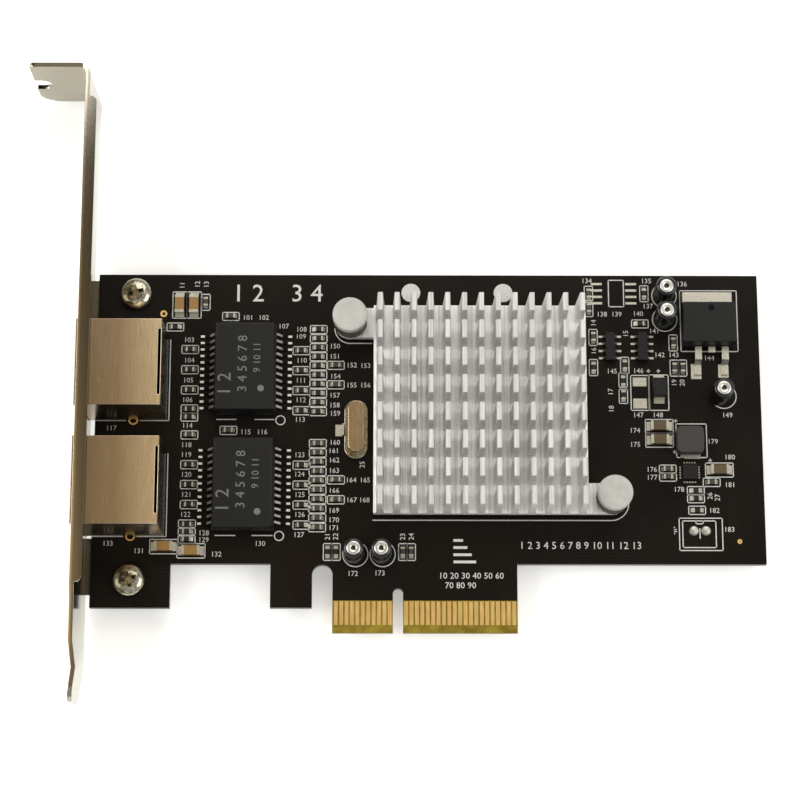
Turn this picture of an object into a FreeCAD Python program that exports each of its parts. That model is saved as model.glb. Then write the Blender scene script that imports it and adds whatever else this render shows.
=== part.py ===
"""Network interface card: a short-height board with two jacks, a finned heat sink and a full-height bracket.

The origin is on the board's mid-plane, at the tip of the edge connector, on the centre line of its key.
X runs along the board away from the bracket, Y from the edge connector to the far edge, Z out of the
component side. Lengths are in millimetres.
"""
import FreeCAD, Part
import os
import re
import Sketcher

Vector = FreeCAD.Vector

# Driving dimensions. Each one is a cell of the sheet and is written once, here.
SIZES = {
    # Board outline
    "board_thickness": 1.57,
    "board_left": 57.1,
    "board_right": 68.55,
    "board_margin": 12.3,
    "shoulder_height": 12.86,
    "foot_width": 14.8,
    "foot_bottom": 4.6,
    "notch_width": 18.6,
    "leg_bottom": 4.65,
    "leg_slot_left": 15.97,
    "leg_slot_top": 12.7,
    # Edge connector
    "connector_left": 12.15,
    "connector_right": 22.15,
    "key_width": 1.9,
    "key_depth": 8.3,
    "bevel_length": 1.4,
    "bevel_depth": 0.42,
    "contact_pitch": 1.0,
    "contact_width": 0.7,
    "contact_bottom": 1.45,
    "contact_top": 5.85,
    "contact_thickness": 0.05,
    "contact_inset": 1.5,
    "short_side_contacts": 11,
    "long_side_contacts": 21,
    # Bracket
    "sheet_thickness": 0.86,
    "bracket_face": 59.01,
    "bracket_near_edge": 15.4,
    "bracket_width": 18.42,
    "bracket_run_edge": 1.645,
    "bracket_top": 106.09,
    "shoulder_start": 97.0,
    "shoulder_end": 102.5,
    "tab_length": 10.79,
    "tab_slot_depth": 3.2,
    "tab_slot_width": 4.42,
    "tab_slot_height": 5.9,
    "tab_far_corner": 4.0,
    "tab_near_corner": 1.0,
    "bend_radius": 1.25,
    "tongue_start": 4.5,
    "tongue_edge": 2.5,
    "tongue_near_edge": 14.5,
    "tongue_taper_start": 3.75,
    "tongue_taper_end": 8.9,
    "tongue_far_edge": 4.4,
    "tongue_tip": 13.93,
    "tongue_corner": 2.8,
    "joggle_start": 3.2,
    "joggle_middle": 8.0,
    "joggle_depth": 0.7,
    "lip_reach": 56.8,
    "lip_bottom": 7.2,
    "lip_top": 99.5,
    "lip_corner": 1.2,
    "ear_reach": 45.4,
    "ear_width": 10.65,
    "ear_corner": 2.0,
    "upper_ear_shift": -2.1,
    "lower_ear_shift": 2.8,
    # Screws
    "screw_from_face": 9.13,
    "upper_screw_margin": 4.0,
    "lower_screw_from_tip": 9.7,
    "screw_head_radius": 3.1,
    "screw_head_height": 2.1,
    "screw_radius": 1.42,
    "screw_length": 3.6,
    "screw_play": 0.28,
    "thread_clearance": 0.04,
    # Jacks
    "jack_rear": 43.5,
    "jack_front": 59.5,
    "jack_width": 16.3,
    "jack_height": 13.2,
    "jack_from_tip": 26.15,
    "jack_spacing": 22.1,
    "jack_window_gap": 0.15,
    "shield_thickness": 0.25,
    "shield_rim": 0.9,
    "shield_slit_length": 12.4,
    "shield_slit_width": 0.5,
    "housing_play": 0.05,
    "housing_rear_play": 0.1,
    "socket_width": 11.7,
    "socket_height": 6.8,
    "socket_sill": 1.9,
    "socket_depth": 12.2,
    "latch_width": 6.1,
    "latch_height": 1.9,
    "jack_contacts": 8,
    "jack_contact_pitch": 1.016,
    "jack_contact_width": 0.4,
    "jack_contact_thickness": 0.3,
    "jack_contact_lift": 0.4,
    "jack_contact_run": 8.4,
    "jack_contact_turn": 0.6,
    "jack_contact_height": 3.1,
    "jack_contact_end": 1.6,
    "light_width": 2.9,
    "light_height": 2.1,
    "light_spacing": 12.6,
    "light_margin": 1.1,
    "light_depth": 2.9,
    "light_play": 0.03,
    # Transformers
    "transformer_from_key": 28.8,
    "transformer_shift": 1.2,
    "transformer_width": 11.7,
    "transformer_length": 17.4,
    "transformer_height": 5.2,
    "transformer_draft": 0.35,
    "transformer_lift": 0.3,
    "transformer_lead_pitch": 1.27,
    "transformer_leads_per_side": 12,
    "transformer_lead_width": 0.42,
    "transformer_lead_thickness": 0.25,
    "transformer_lead_reach": 8.65,
    "transformer_lead_foot": 1.5,
    "transformer_lead_exit": 2.3,
    # Controller and heat sink
    "controller_width": 25.0,
    "controller_height": 2.3,
    "pad_thickness": 0.3,
    "sink_left": 4.62,
    "sink_bottom": 21.67,
    "sink_width": 39.95,
    "sink_length": 39.87,
    "sink_base": 1.7,
    "sink_height": 10.8,
    "fin_columns": 13,
    "fin_margin": 0.505,
    "fin_tip": 0.9,
    "fin_root": 1.5,
    "fin_rows": 8,
    "cut_width": 1.74,
    "ear_length": 7.25,
    "sink_ear_width": 5.7,
    "sink_ear_inset": 0.55,
    # Push pins
    "pin_head_radius": 3.25,
    "pin_head_height": 1.7,
    "pin_head_lift": 4.5,
    "pin_radius": 1.45,
    "pin_hole_clearance": 0.1,
    "pin_tip_depth": 2.75,
    # Crystal
    "crystal_from_key": 7.9,
    "crystal_from_tip": 38.38,
    "crystal_length": 11.3,
    "crystal_width": 4.5,
    "crystal_height": 3.5,
    "crystal_flange": 0.75,
    "crystal_flange_height": 0.6,
    "strap_reach": 3.9,
    "strap_width": 2.2,
    "strap_height": 1.6,
    "strap_thickness": 0.3,
    "strap_gap": 0.03,
    "strap_shift": 0.2,
    # Upright capacitors
    "can_radius": 1.95,
    "can_height": 7.2,
    # Regulator
    "regulator_from_key": 53.7,
    "regulator_from_tip": 54.25,
    "regulator_width": 10.1,
    "regulator_length": 8.45,
    "regulator_height": 4.4,
    "regulator_draft": 0.35,
    "regulator_tab_thickness": 1.27,
    "regulator_tab_reach": 2.4,
    "regulator_tab_margin": 0.6,
    "regulator_lead_width": 1.3,
    "regulator_lead_thickness": 0.5,
    "regulator_lead_spacing": 5.08,
    "regulator_lead_shift": 0.55,
    "regulator_lead_reach": 5.2,
    "regulator_lead_foot": 2.1,
    "regulator_lead_slope": 0.8,
    "regulator_lead_rise": 0.75,
    "regulator_stub_reach": 1.2,
    # Inductor, converter and diode
    "inductor_from_key": 54.7,
    "inductor_from_tip": 36.1,
    "inductor_width": 5.2,
    "inductor_height": 3.0,
    "inductor_draft": 0.12,
    "inductor_terminal_width": 3.3,
    "inductor_terminal_length": 1.6,
    "inductor_terminal_thickness": 0.2,
    "inductor_terminal_stand": 0.45,
    "converter_from_key": 54.7,
    "converter_from_tip": 30.3,
    "converter_width": 2.8,
    "converter_height": 0.9,
    "diode_from_key": 49.3,
    "diode_from_tip": 46.35,
    "diode_width": 2.7,
    "diode_length": 3.8,
    "diode_height": 2.1,
    "diode_draft": 0.15,
    "diode_terminal_width": 2.0,
    "diode_terminal_foot": 0.9,
    "diode_terminal_heel": 0.3,
    "diode_terminal_thickness": 0.12,
    "diode_terminal_height": 1.3,
    # Eight-lead transistors
    "transistor_from_key": 40.2,
    "transistor_spacing": 6.1,
    "transistor_from_tip": 54.45,
    "transistor_width": 2.0,
    "transistor_length": 5.6,
    "transistor_height": 1.35,
    "transistor_draft": 0.1,
    "transistor_lift": 0.12,
    "transistor_lead_reach": 2.15,
    "transistor_lead_foot": 0.7,
    "transistor_lead_exit": 0.85,
    "transistor_lead_width": 0.4,
    "transistor_lead_thickness": 0.18,
    "transistor_lead_pitch": 1.4,
    "transistor_leads_per_side": 4,
    # Chips
    "chip_length": 1.6,
    "chip_width": 0.82,
    "resistor_height": 0.45,
    "ceramic_height": 0.75,
    "large_chip_length": 3.4,
    "large_chip_width": 1.7,
    "large_chip_height": 1.3,
    "large_chip_terminal": 0.5,
    "large_chip_step": 0.03,
    # Lands
    "land_thickness": 0.05,
}

BOARD_TOP = "board_thickness / 2"
BOARD_UNDERSIDE = "-board_thickness / 2"
FACE = "-bracket_face"
INSIDE = "sheet_thickness - bracket_face"
FAR_EDGE = "bracket_near_edge - bracket_width"
JACK_SEAT = "board_thickness / 2 + land_thickness"
JACK_TOP = "board_thickness / 2 + land_thickness + jack_height"
SINK_SEAT = "board_thickness / 2 + controller_height + pad_thickness"
SINK_TOP = f"{SINK_SEAT} + sink_height"
EAR_TOP = f"{SINK_SEAT} + sink_base"
UPPER_JACK = "jack_from_tip + jack_spacing"
LOWER_JACK = "jack_from_tip"
BOARD_HEIGHT = f"({UPPER_JACK} + jack_width / 2 + board_margin)"
UPPER_SCREW = f"({BOARD_HEIGHT} - upper_screw_margin)"
LOWER_SCREW = "lower_screw_from_tip"
SCREW_ROWS = (UPPER_SCREW, LOWER_SCREW)
SCREW_COLUMN = "(screw_from_face - bracket_face)"
TAB_END = "(-bracket_face - tab_length)"
HOUSING_GAP = "(shield_thickness + housing_play)"
LIGHT_FLOOR = f"({JACK_TOP} - light_margin - light_height)"
FIN_PITCH = "((sink_width - fin_root - 2 * fin_margin) / (fin_columns - 1))"

# How far the outlines of cuts reach past the stock.
OVERCUT = 5
# The share of a width used as the radius of an end that is rounded almost to a half circle.
HALF_ROUND = 0.48
# How near a coordinate has to be to count as the same.
TOLERANCE = 0.01

doc = FreeCAD.newDocument("NetworkCard")
sheet = doc.addObject("Spreadsheet::Sheet", "Sizes")
for row, (alias, size) in enumerate(SIZES.items(), start=1):
    sheet.set(f"A{row}", alias)
    sheet.set(f"B{row}", str(size))
    sheet.setAlias(f"B{row}", alias)
doc.recompute()

parts = []


def formula(text):
    """A formula in the sheet's terms: each alias in it gets the sheet's name in front."""
    return re.sub(r"[a-z_]+", lambda word: "Sizes." + word[0] if word[0] in SIZES else word[0], str(text))


def number(text):
    """The present value of a formula."""
    return float(sheet.evalExpression(formula(text)))


def bind(item, **formulas):
    """Ties each named property of a feature to a formula."""
    for key, text in formulas.items():
        item.setExpression(key, formula(text))


def place(item, x=0, y=0, z=0):
    """Ties a feature's place to three formulas."""
    item.setExpression(".Placement.Base.x", formula(x))
    item.setExpression(".Placement.Base.y", formula(y))
    item.setExpression(".Placement.Base.z", formula(z))


def finish(item, label):
    """Names a sub-part and puts it on the list of those that are written."""
    item.Label = label
    parts.append(item)
    return item


def origin_feature(body, role):
    """A body's own plane or axis."""
    return next(item for item in body.Origin.OriginFeatures if item.Role == role)


def new_sketch(body, role, name, lift=0):
    """A sketch on one of the body's planes, lifted along that plane's normal."""
    sketch = body.newObject("Sketcher::SketchObject", name)
    sketch.AttachmentSupport = [(origin_feature(body, role), "")]
    sketch.MapMode = "FlatFace"
    sketch.setExpression(".AttachmentOffset.Base.z", formula(lift))
    return sketch


def loop(sketch, corners):
    """A closed outline of straight edges, each corner held by two formulas from the sketch's origin."""
    first = sketch.GeometryCount
    count = len(corners)
    points = [Vector(number(x), number(y), 0) for x, y in corners]
    for index in range(count):
        sketch.addGeometry(Part.LineSegment(points[index], points[(index + 1) % count]), False)
    for index in range(count):
        following = first + (index + 1) % count
        sketch.addConstraint(Sketcher.Constraint("Coincident", first + index, 2, following, 1))
    for index, (x, y) in enumerate(corners):
        for kind, text, size in (("DistanceX", x, points[index].x), ("DistanceY", y, points[index].y)):
            added = sketch.addConstraint(Sketcher.Constraint(kind, -1, 1, first + index, 1, size))
            sketch.setExpression(f"Constraints[{added}]", formula(text))


def rectangle(sketch, left, bottom, right, top):
    """A rectangle between two corners."""
    loop(sketch, [(left, bottom), (right, bottom), (right, top), (left, top)])


def circle(sketch, x, y, radius):
    """A circle held by its centre and radius."""
    centre = Vector(number(x), number(y), 0)
    index = sketch.addGeometry(Part.Circle(centre, Vector(0, 0, 1), number(radius)), False)
    for kind, text, size in (("DistanceX", x, centre.x), ("DistanceY", y, centre.y)):
        added = sketch.addConstraint(Sketcher.Constraint(kind, -1, 1, index, 3, size))
        sketch.setExpression(f"Constraints[{added}]", formula(text))
    added = sketch.addConstraint(Sketcher.Constraint("Radius", index, number(radius)))
    sketch.setExpression(f"Constraints[{added}]", formula(radius))


def pad(body, sketch, length, midplane=False, against=False, name="Pad"):
    """Extrudes a sketch; 'against' sends it against the sketch's normal."""
    feature = body.newObject("PartDesign::Pad", name)
    feature.Profile = sketch
    feature.Midplane = midplane
    feature.Reversed = against
    bind(feature, Length=length)
    doc.recompute()
    return feature


def cut_through(body, sketch, name="Cut"):
    """Cuts a sketch right through the body, both ways, and makes sure that it cut something."""
    before = body.Shape.Volume
    feature = body.newObject("PartDesign::Pocket", name)
    feature.Profile = sketch
    feature.Type = "ThroughAll"
    feature.Midplane = True
    doc.recompute()
    if not body.Shape.Volume < before:
        raise RuntimeError(f"{body.Name}: {name} removed nothing")
    return feature


def cut_to(body, sketch, depth, against=False, name="Recess"):
    """Cuts a sketch to a depth below its plane ('against': above it) and makes sure that it cut something."""
    before = body.Shape.Volume
    feature = body.newObject("PartDesign::Pocket", name)
    feature.Profile = sketch
    feature.Reversed = against
    bind(feature, Length=depth)
    doc.recompute()
    if not body.Shape.Volume < before:
        raise RuntimeError(f"{body.Name}: {name} removed nothing")
    return feature


def pattern(body, feature, axis, pitch, count, name="Row"):
    """Repeats a feature along one of the body's axes."""
    row = body.newObject("PartDesign::LinearPattern", name)
    row.Originals = [feature]
    row.Direction = (origin_feature(body, axis), [""])
    row.Mode = "Spacing"
    bind(row, Offset=pitch, Occurrences=count)
    body.Tip = row
    doc.recompute()
    return row


def edges_where(shape, test):
    """Names of the straight edges whose direction and middle point pass a test."""
    names = []
    for index, edge in enumerate(shape.Edges, start=1):
        if not isinstance(edge.Curve, Part.Line):
            continue
        direction = edge.tangentAt(edge.FirstParameter)
        if test(edge.CenterOfMass, direction):
            names.append(f"Edge{index}")
    return names


def near(value, text):
    """Whether a coordinate lies at a formula's value."""
    return abs(value - number(text)) < TOLERANCE


def along(direction, axis):
    """Whether a direction runs along an axis, either way."""
    return abs(abs(getattr(direction, axis)) - 1) < TOLERANCE


def fillet(body, radius, test, name="Fillet"):
    """Rounds the straight edges that pass a test."""
    base = body.Tip
    names = edges_where(base.Shape, test)
    if not names:
        raise RuntimeError(f"{body.Name}: {name} found no edges")
    feature = body.newObject("PartDesign::Fillet", name)
    feature.Base = (base, names)
    bind(feature, Radius=radius)
    body.Tip = feature
    doc.recompute()
    if feature.Shape.isNull() or "Invalid" in feature.State:
        raise RuntimeError(f"{body.Name}: {name} failed")
    return feature


def box(name, x, y, z, length, width, height):
    """A block from its lowest corner."""
    block = doc.addObject("Part::Box", name)
    bind(block, Length=length, Width=width, Height=height)
    place(block, x, y, z)
    return block


def group(label, pieces):
    """Separate solids of one kind under one name."""
    compound = doc.addObject("Part::Compound", label)
    compound.Links = pieces
    return finish(compound, label)


def fuse(name, pieces):
    """Several shapes joined into one solid."""
    result = doc.addObject("Part::MultiFuse", name)
    result.Shapes = pieces
    result.Refine = True
    return result


def revolved(name, corners):
    """A solid of revolution about Z from a half profile of radius and height."""
    body = doc.addObject("PartDesign::Body", name)
    sketch = new_sketch(body, "XZ_Plane", name + "Profile")
    loop(sketch, corners)
    turned = body.newObject("PartDesign::Revolution", name + "Turned")
    turned.Profile = sketch
    turned.ReferenceAxis = (sketch, ["V_Axis"])
    turned.Angle = 360
    doc.recompute()
    return body


def circuit_board():
    """The laminate: its outline with foot, notch, leg and keyed edge, then the bevel and the drilled holes."""
    body = doc.addObject("PartDesign::Body", "CircuitBoard")
    outline = new_sketch(body, "XY_Plane", "BoardOutline", BOARD_UNDERSIDE)
    foot_right = "foot_width - board_left"
    leg_left = "foot_width + notch_width - board_left"
    loop(outline, [
        ("-board_left", "foot_bottom"), (foot_right, "foot_bottom"), (foot_right, "shoulder_height"),
        (leg_left, "shoulder_height"), (leg_left, "leg_bottom"), ("-leg_slot_left", "leg_bottom"),
        ("-leg_slot_left", "leg_slot_top"), ("-connector_left", "leg_slot_top"), ("-connector_left", 0),
        ("-key_width / 2", 0), ("-key_width / 2", "key_depth"), ("key_width / 2", "key_depth"),
        ("key_width / 2", 0), ("connector_right", 0), ("connector_right", "shoulder_height"),
        ("board_right", "shoulder_height"), ("board_right", BOARD_HEIGHT), ("-board_left", BOARD_HEIGHT),
    ])
    pad(body, outline, "board_thickness", name="BoardPad")
    bevel = new_sketch(body, "YZ_Plane", "EdgeBevel")
    for face in ("", "-"):
        loop(bevel, [
            (-OVERCUT, f"{face}(board_thickness / 2 + {OVERCUT})"),
            ("bevel_length", f"{face}(board_thickness / 2 + {OVERCUT})"),
            ("bevel_length", f"{face}board_thickness / 2"), (0, f"{face}(board_thickness / 2 - bevel_depth)"),
            (-OVERCUT, f"{face}(board_thickness / 2 - bevel_depth)"),
        ])
    cut_through(body, bevel, "BevelCut")
    drill = new_sketch(body, "XY_Plane", "Drill")
    for screw_row in SCREW_ROWS:
        circle(drill, SCREW_COLUMN, screw_row, "screw_radius + screw_play")
    for x, y in PIN_PLACES:
        circle(drill, x, y, "pin_radius + pin_hole_clearance")
    cut_through(body, drill, "DrillCut")
    fillet(body, f"(leg_slot_left - connector_left) * {HALF_ROUND}", lambda middle, way: (
        along(way, "z") and near(middle.y, "leg_slot_top")), "SlotEnd")
    fillet(body, f"key_width * {HALF_ROUND}", lambda middle, way: (
        along(way, "z") and near(middle.y, "key_depth")), "KeyEnd")
    return finish(body, "circuit_board")


def edge_contacts():
    """Gold fingers on both faces: a short row and a long row on either side of the key."""
    body = doc.addObject("PartDesign::Body", "EdgeContacts")
    rows = [
        ("Short", "-contact_inset - (short_side_contacts - 1) * contact_pitch", "short_side_contacts"),
        ("Long", "contact_inset", "long_side_contacts"),
    ]
    for name, start, count in rows:
        section = new_sketch(body, "YZ_Plane", name + "Section", f"{start} - contact_width / 2")
        for face in ("", "-"):
            rectangle(section, "contact_bottom", f"{face}board_thickness / 2",
                      "contact_top", f"{face}(board_thickness / 2 + contact_thickness)")
        finger = pad(body, section, "contact_width", name=name + "Finger")
        pattern(body, finger, "X_Axis", "contact_pitch", count, name + "Row")
    return finish(body, "edge_contacts")


def bracket():
    """The folded bracket: joggled strip and screw tab, stiffening lip, two threaded ears and two windows."""
    body = doc.addObject("PartDesign::Body", "Bracket")
    side = new_sketch(body, "XY_Plane", "StripSide", FAR_EDGE)
    loop(side, [
        (TAB_END, "bracket_top"), (TAB_END, "bracket_top - sheet_thickness"),
        (FACE, "bracket_top - sheet_thickness"), (FACE, "-joggle_start"),
        (f"{FACE} + joggle_depth", "-joggle_middle"), (FACE, "-tongue_tip"), (INSIDE, "-tongue_tip"),
        (f"{INSIDE} + joggle_depth", "-joggle_middle"), (INSIDE, "-joggle_start"), (INSIDE, "bracket_top"),
    ])
    pad(body, side, "bracket_width", name="StripPad")
    face = new_sketch(body, "YZ_Plane", "StripOutline")
    rectangle(face, f"-tongue_tip - {OVERCUT}", f"{FAR_EDGE} - {OVERCUT * 2}",
              f"bracket_top + {OVERCUT * 2}", f"bracket_near_edge + {OVERCUT * 2}")
    loop(face, [
        ("-tongue_tip", "tongue_far_edge"), ("-tongue_taper_end", "tongue_far_edge"),
        ("-tongue_taper_start", "-tongue_edge"), ("tongue_start", "-tongue_edge"),
        ("tongue_start + tongue_edge - bracket_run_edge", "-bracket_run_edge"),
        ("shoulder_start", "-bracket_run_edge"), ("shoulder_end", FAR_EDGE),
        ("shoulder_end", f"{FAR_EDGE} - {OVERCUT}"), (f"bracket_top + {OVERCUT}", f"{FAR_EDGE} - {OVERCUT}"),
        (f"bracket_top + {OVERCUT}", f"bracket_near_edge + {OVERCUT}"),
        ("lip_bottom", f"bracket_near_edge + {OVERCUT}"), ("lip_bottom", "bracket_near_edge"),
        ("tongue_start", "tongue_near_edge"),
        ("-tongue_tip", "tongue_near_edge"),
    ])
    cut_through(body, face, "OutlineCut")
    fillet(body, "tongue_corner", lambda middle, way: (
        along(way, "x") and near(middle.y, "-tongue_tip")), "TongueTip")
    fillet(body, "sheet_thickness + bend_radius", lambda middle, way: (
        along(way, "z") and near(middle.x, INSIDE) and near(middle.y, "bracket_top")), "BendOutside")
    fillet(body, "bend_radius", lambda middle, way: (
        along(way, "z") and near(middle.x, FACE)
        and near(middle.y, "bracket_top - sheet_thickness")), "BendInside")
    fillet(body, "tab_far_corner", lambda middle, way: (
        along(way, "y") and near(middle.x, TAB_END) and near(middle.z, FAR_EDGE)), "TabFarCorner")
    fillet(body, "tab_near_corner", lambda middle, way: (
        along(way, "y") and near(middle.x, TAB_END) and near(middle.z, "bracket_near_edge")), "TabNearCorner")
    lip = new_sketch(body, "XY_Plane", "LipOutline", "bracket_near_edge")
    rectangle(lip, f"{FACE} + sheet_thickness / 2", "lip_bottom", "-lip_reach", "lip_top")
    pad(body, lip, "sheet_thickness", against=True, name="LipPad")
    fillet(body, "lip_corner", lambda middle, way: (
        along(way, "z") and near(middle.x, "-lip_reach")), "LipEnds")
    ears = new_sketch(body, "XY_Plane", "EarOutlines", "-bracket_run_edge")
    for screw_row, shift in ((UPPER_SCREW, "upper_ear_shift"), (LOWER_SCREW, "lower_ear_shift")):
        bottom = f"{screw_row} - ear_width / 2 + {shift}"
        loop(ears, [
            (f"{FACE} + sheet_thickness / 2", bottom), ("-ear_reach - ear_corner", bottom),
            ("-ear_reach", f"{bottom} + ear_corner"), ("-ear_reach", f"{bottom} + ear_width - ear_corner"),
            ("-ear_reach - ear_corner", f"{bottom} + ear_width"),
            (f"{FACE} + sheet_thickness / 2", f"{bottom} + ear_width"),
        ])
    pad(body, ears, f"{BOARD_UNDERSIDE} + bracket_run_edge", name="EarPads")
    threads = new_sketch(body, "XY_Plane", "EarHoles")
    for screw_row in SCREW_ROWS:
        circle(threads, SCREW_COLUMN, screw_row, "screw_radius + thread_clearance")
    cut_through(body, threads, "EarHoleCut")
    windows = new_sketch(body, "YZ_Plane", "JackWindows")
    for jack_row in JACK_ROWS:
        rectangle(windows, f"{jack_row} - jack_width / 2 - jack_window_gap", f"{BOARD_TOP} - jack_window_gap",
                  f"{jack_row} + jack_width / 2 + jack_window_gap", f"{JACK_TOP} + jack_window_gap")
    cut_through(body, windows, "WindowCut")
    slot = new_sketch(body, "XZ_Plane", "TabSlot")
    rectangle(slot, f"{TAB_END} - {OVERCUT}", "tab_slot_height - tab_slot_width / 2",
              f"{TAB_END} + tab_slot_depth", "tab_slot_height + tab_slot_width / 2")
    cut_through(body, slot, "TabSlotCut")
    fillet(body, f"tab_slot_width * {HALF_ROUND}", lambda middle, way: (
        along(way, "y") and near(middle.x, f"{TAB_END} + tab_slot_depth")), "SlotRound")
    return finish(body, "bracket")


def bracket_screws():
    """Two pan-head screws through the board into the bracket's ears."""
    screws = []
    for index, screw_row in enumerate(SCREW_ROWS, start=1):
        screw = revolved(f"Screw{index}", [
            (0, 0), ("screw_radius", 0), ("screw_radius", "screw_length"),
            ("screw_head_radius", "screw_length"), ("screw_head_radius", "screw_length + screw_head_height"),
            (0, "screw_length + screw_head_height"),
        ])
        place(screw, SCREW_COLUMN, screw_row, f"{BOARD_TOP} - screw_length")
        screws.append(screw)
    group("bracket_screws", screws)


def jack_shield(label, jack_row):
    """The folded shell of one jack: open below, windowed in front, with a slit along the roof's rear edge."""
    body = doc.addObject("PartDesign::Body", "Shield" + label)
    plan = new_sketch(body, "XY_Plane", "ShieldPlan" + label, JACK_SEAT)
    rectangle(plan, "-jack_front", "-jack_width / 2", "-jack_rear", "jack_width / 2")
    pad(body, plan, "jack_height", name="ShieldBlock" + label)
    hollow = new_sketch(body, "XY_Plane", "ShieldHollow" + label, JACK_SEAT)
    rectangle(hollow, "shield_thickness - jack_front", "shield_thickness - jack_width / 2",
              "-jack_rear - shield_thickness", "jack_width / 2 - shield_thickness")
    cut_to(body, hollow, "jack_height - shield_thickness", against=True, name="ShieldInside" + label)
    front = new_sketch(body, "YZ_Plane", "ShieldFront" + label, "shield_thickness - jack_front")
    rectangle(front, "shield_rim - jack_width / 2", f"{JACK_SEAT} + shield_rim",
              "jack_width / 2 - shield_rim", f"{JACK_TOP} - shield_rim")
    cut_to(body, front, "shield_thickness * 2", name="ShieldMouth" + label)
    slit = new_sketch(body, "XY_Plane", "ShieldSlit" + label, JACK_TOP)
    rectangle(slit, "-jack_rear - shield_thickness - shield_slit_width", "-shield_slit_length / 2",
              "-jack_rear - shield_thickness", "shield_slit_length / 2")
    cut_to(body, slit, "shield_thickness * 2", name="ShieldSlitCut" + label)
    place(body, 0, jack_row)
    return finish(body, f"jack_shield_{label}")


def jack_housing(label, jack_row):
    """The moulded insert of one jack, with its stepped socket for a plug and two pockets for the lights."""
    body = doc.addObject("PartDesign::Body", "Housing" + label)
    plan = new_sketch(body, "XY_Plane", "HousingPlan" + label, JACK_SEAT)
    rectangle(plan, f"{HOUSING_GAP} - jack_front", f"{HOUSING_GAP} - jack_width / 2",
              f"-jack_rear - {HOUSING_GAP} - shield_slit_width - housing_rear_play",
              f"jack_width / 2 - {HOUSING_GAP}")
    pad(body, plan, f"jack_height - {HOUSING_GAP}", name="HousingBlock" + label)
    socket = new_sketch(body, "YZ_Plane", "Socket" + label, f"{HOUSING_GAP} - jack_front")
    sill = f"{JACK_SEAT} + socket_sill"
    shelf = f"{sill} + socket_height"
    roof = f"{shelf} + latch_height"
    loop(socket, [
        ("-socket_width / 2", sill), ("socket_width / 2", sill), ("socket_width / 2", shelf),
        ("latch_width / 2", shelf), ("latch_width / 2", roof), ("-latch_width / 2", roof),
        ("-latch_width / 2", shelf), ("-socket_width / 2", shelf),
    ])
    cut_to(body, socket, "socket_depth", against=True, name="SocketCut" + label)
    lights = new_sketch(body, "YZ_Plane", "LightPockets" + label, f"{HOUSING_GAP} - jack_front")
    for side in ("-", ""):
        rectangle(lights, f"{side}light_spacing / 2 - light_width / 2", LIGHT_FLOOR,
                  f"{side}light_spacing / 2 + light_width / 2", f"{LIGHT_FLOOR} + light_height")
    cut_to(body, lights, "light_depth + light_play", against=True, name="LightPocketCut" + label)
    place(body, 0, jack_row)
    return finish(body, f"jack_housing_{label}")


def jack_lights():
    """Four clear light windows, two in the upper corners of each jack's front."""
    lights = []
    for row_index, jack_row in enumerate(JACK_ROWS):
        for side_index, side in enumerate(("-", "+")):
            lights.append(box(
                f"Light{row_index}{side_index}", f"{HOUSING_GAP} - jack_front",
                f"{jack_row} {side} light_spacing / 2 - light_width / 2 + light_play",
                f"{LIGHT_FLOOR} + light_play", "light_depth",
                "light_width - 2 * light_play", "light_height - 2 * light_play"))
    group("jack_lights", lights)


def jack_wires(label, jack_row):
    """Eight spring contacts in one jack, out along the socket's floor and sloping back up to its rear."""
    body = doc.addObject("PartDesign::Body", "Wires" + label)
    first = "-(jack_contacts - 1) / 2 * jack_contact_pitch - jack_contact_width / 2"
    side = new_sketch(body, "XZ_Plane", "WireSide" + label, f"-({first})")
    rear = f"{HOUSING_GAP} + socket_depth - jack_front"
    low = f"{JACK_SEAT} + socket_sill + jack_contact_lift"
    high = f"{JACK_SEAT} + socket_sill + jack_contact_height"
    loop(side, [
        (rear, low), (f"{rear} - jack_contact_run", low),
        (f"{rear} - jack_contact_run - jack_contact_turn", f"{low} + jack_contact_thickness"),
        (f"{rear} - jack_contact_end", high),
        (f"{rear} - jack_contact_end", f"{high} - jack_contact_thickness"),
        (f"{rear} - jack_contact_run + jack_contact_turn", f"{low} + jack_contact_thickness"),
        (rear, f"{low} + jack_contact_thickness"),
    ])
    wire = pad(body, side, "jack_contact_width", against=True, name="Wire" + label)
    pattern(body, wire, "Y_Axis", "jack_contact_pitch", "jack_contacts", "WireRow" + label)
    place(body, 0, jack_row)
    return finish(body, f"jack_contacts_{label}")


def bent_leads(kind, name, label, root, x, y):
    """Two facing rows of bent leads along Y: a foot on the board and a slope up into the moulding."""
    body = doc.addObject("PartDesign::Body", name)
    row = f"({kind}_leads_per_side - 1) / 2 * {kind}_lead_pitch"
    side = new_sketch(body, "XZ_Plane", name + "Side", f"{row} + {kind}_lead_width / 2")
    thickness = f"{kind}_lead_thickness"
    knee = f"{kind}_lead_reach - {kind}_lead_foot"
    for sign in ("", "-"):
        loop(side, [
            (f"{sign}({kind}_lead_reach)", 0), (f"{sign}({kind}_lead_reach)", thickness),
            (f"{sign}({knee})", thickness), (f"{sign}({root})", f"{kind}_lead_exit"),
            (f"{sign}({root})", f"{kind}_lead_exit - {thickness}"), (f"{sign}({knee} - {thickness} / 2)", 0),
        ])
    lead = pad(body, side, f"{kind}_lead_width", against=True, name=name + "Pair")
    pattern(body, lead, "Y_Axis", f"{kind}_lead_pitch", f"{kind}_leads_per_side", name + "Row")
    place(body, x, y, BOARD_TOP)
    return finish(body, label)


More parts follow.
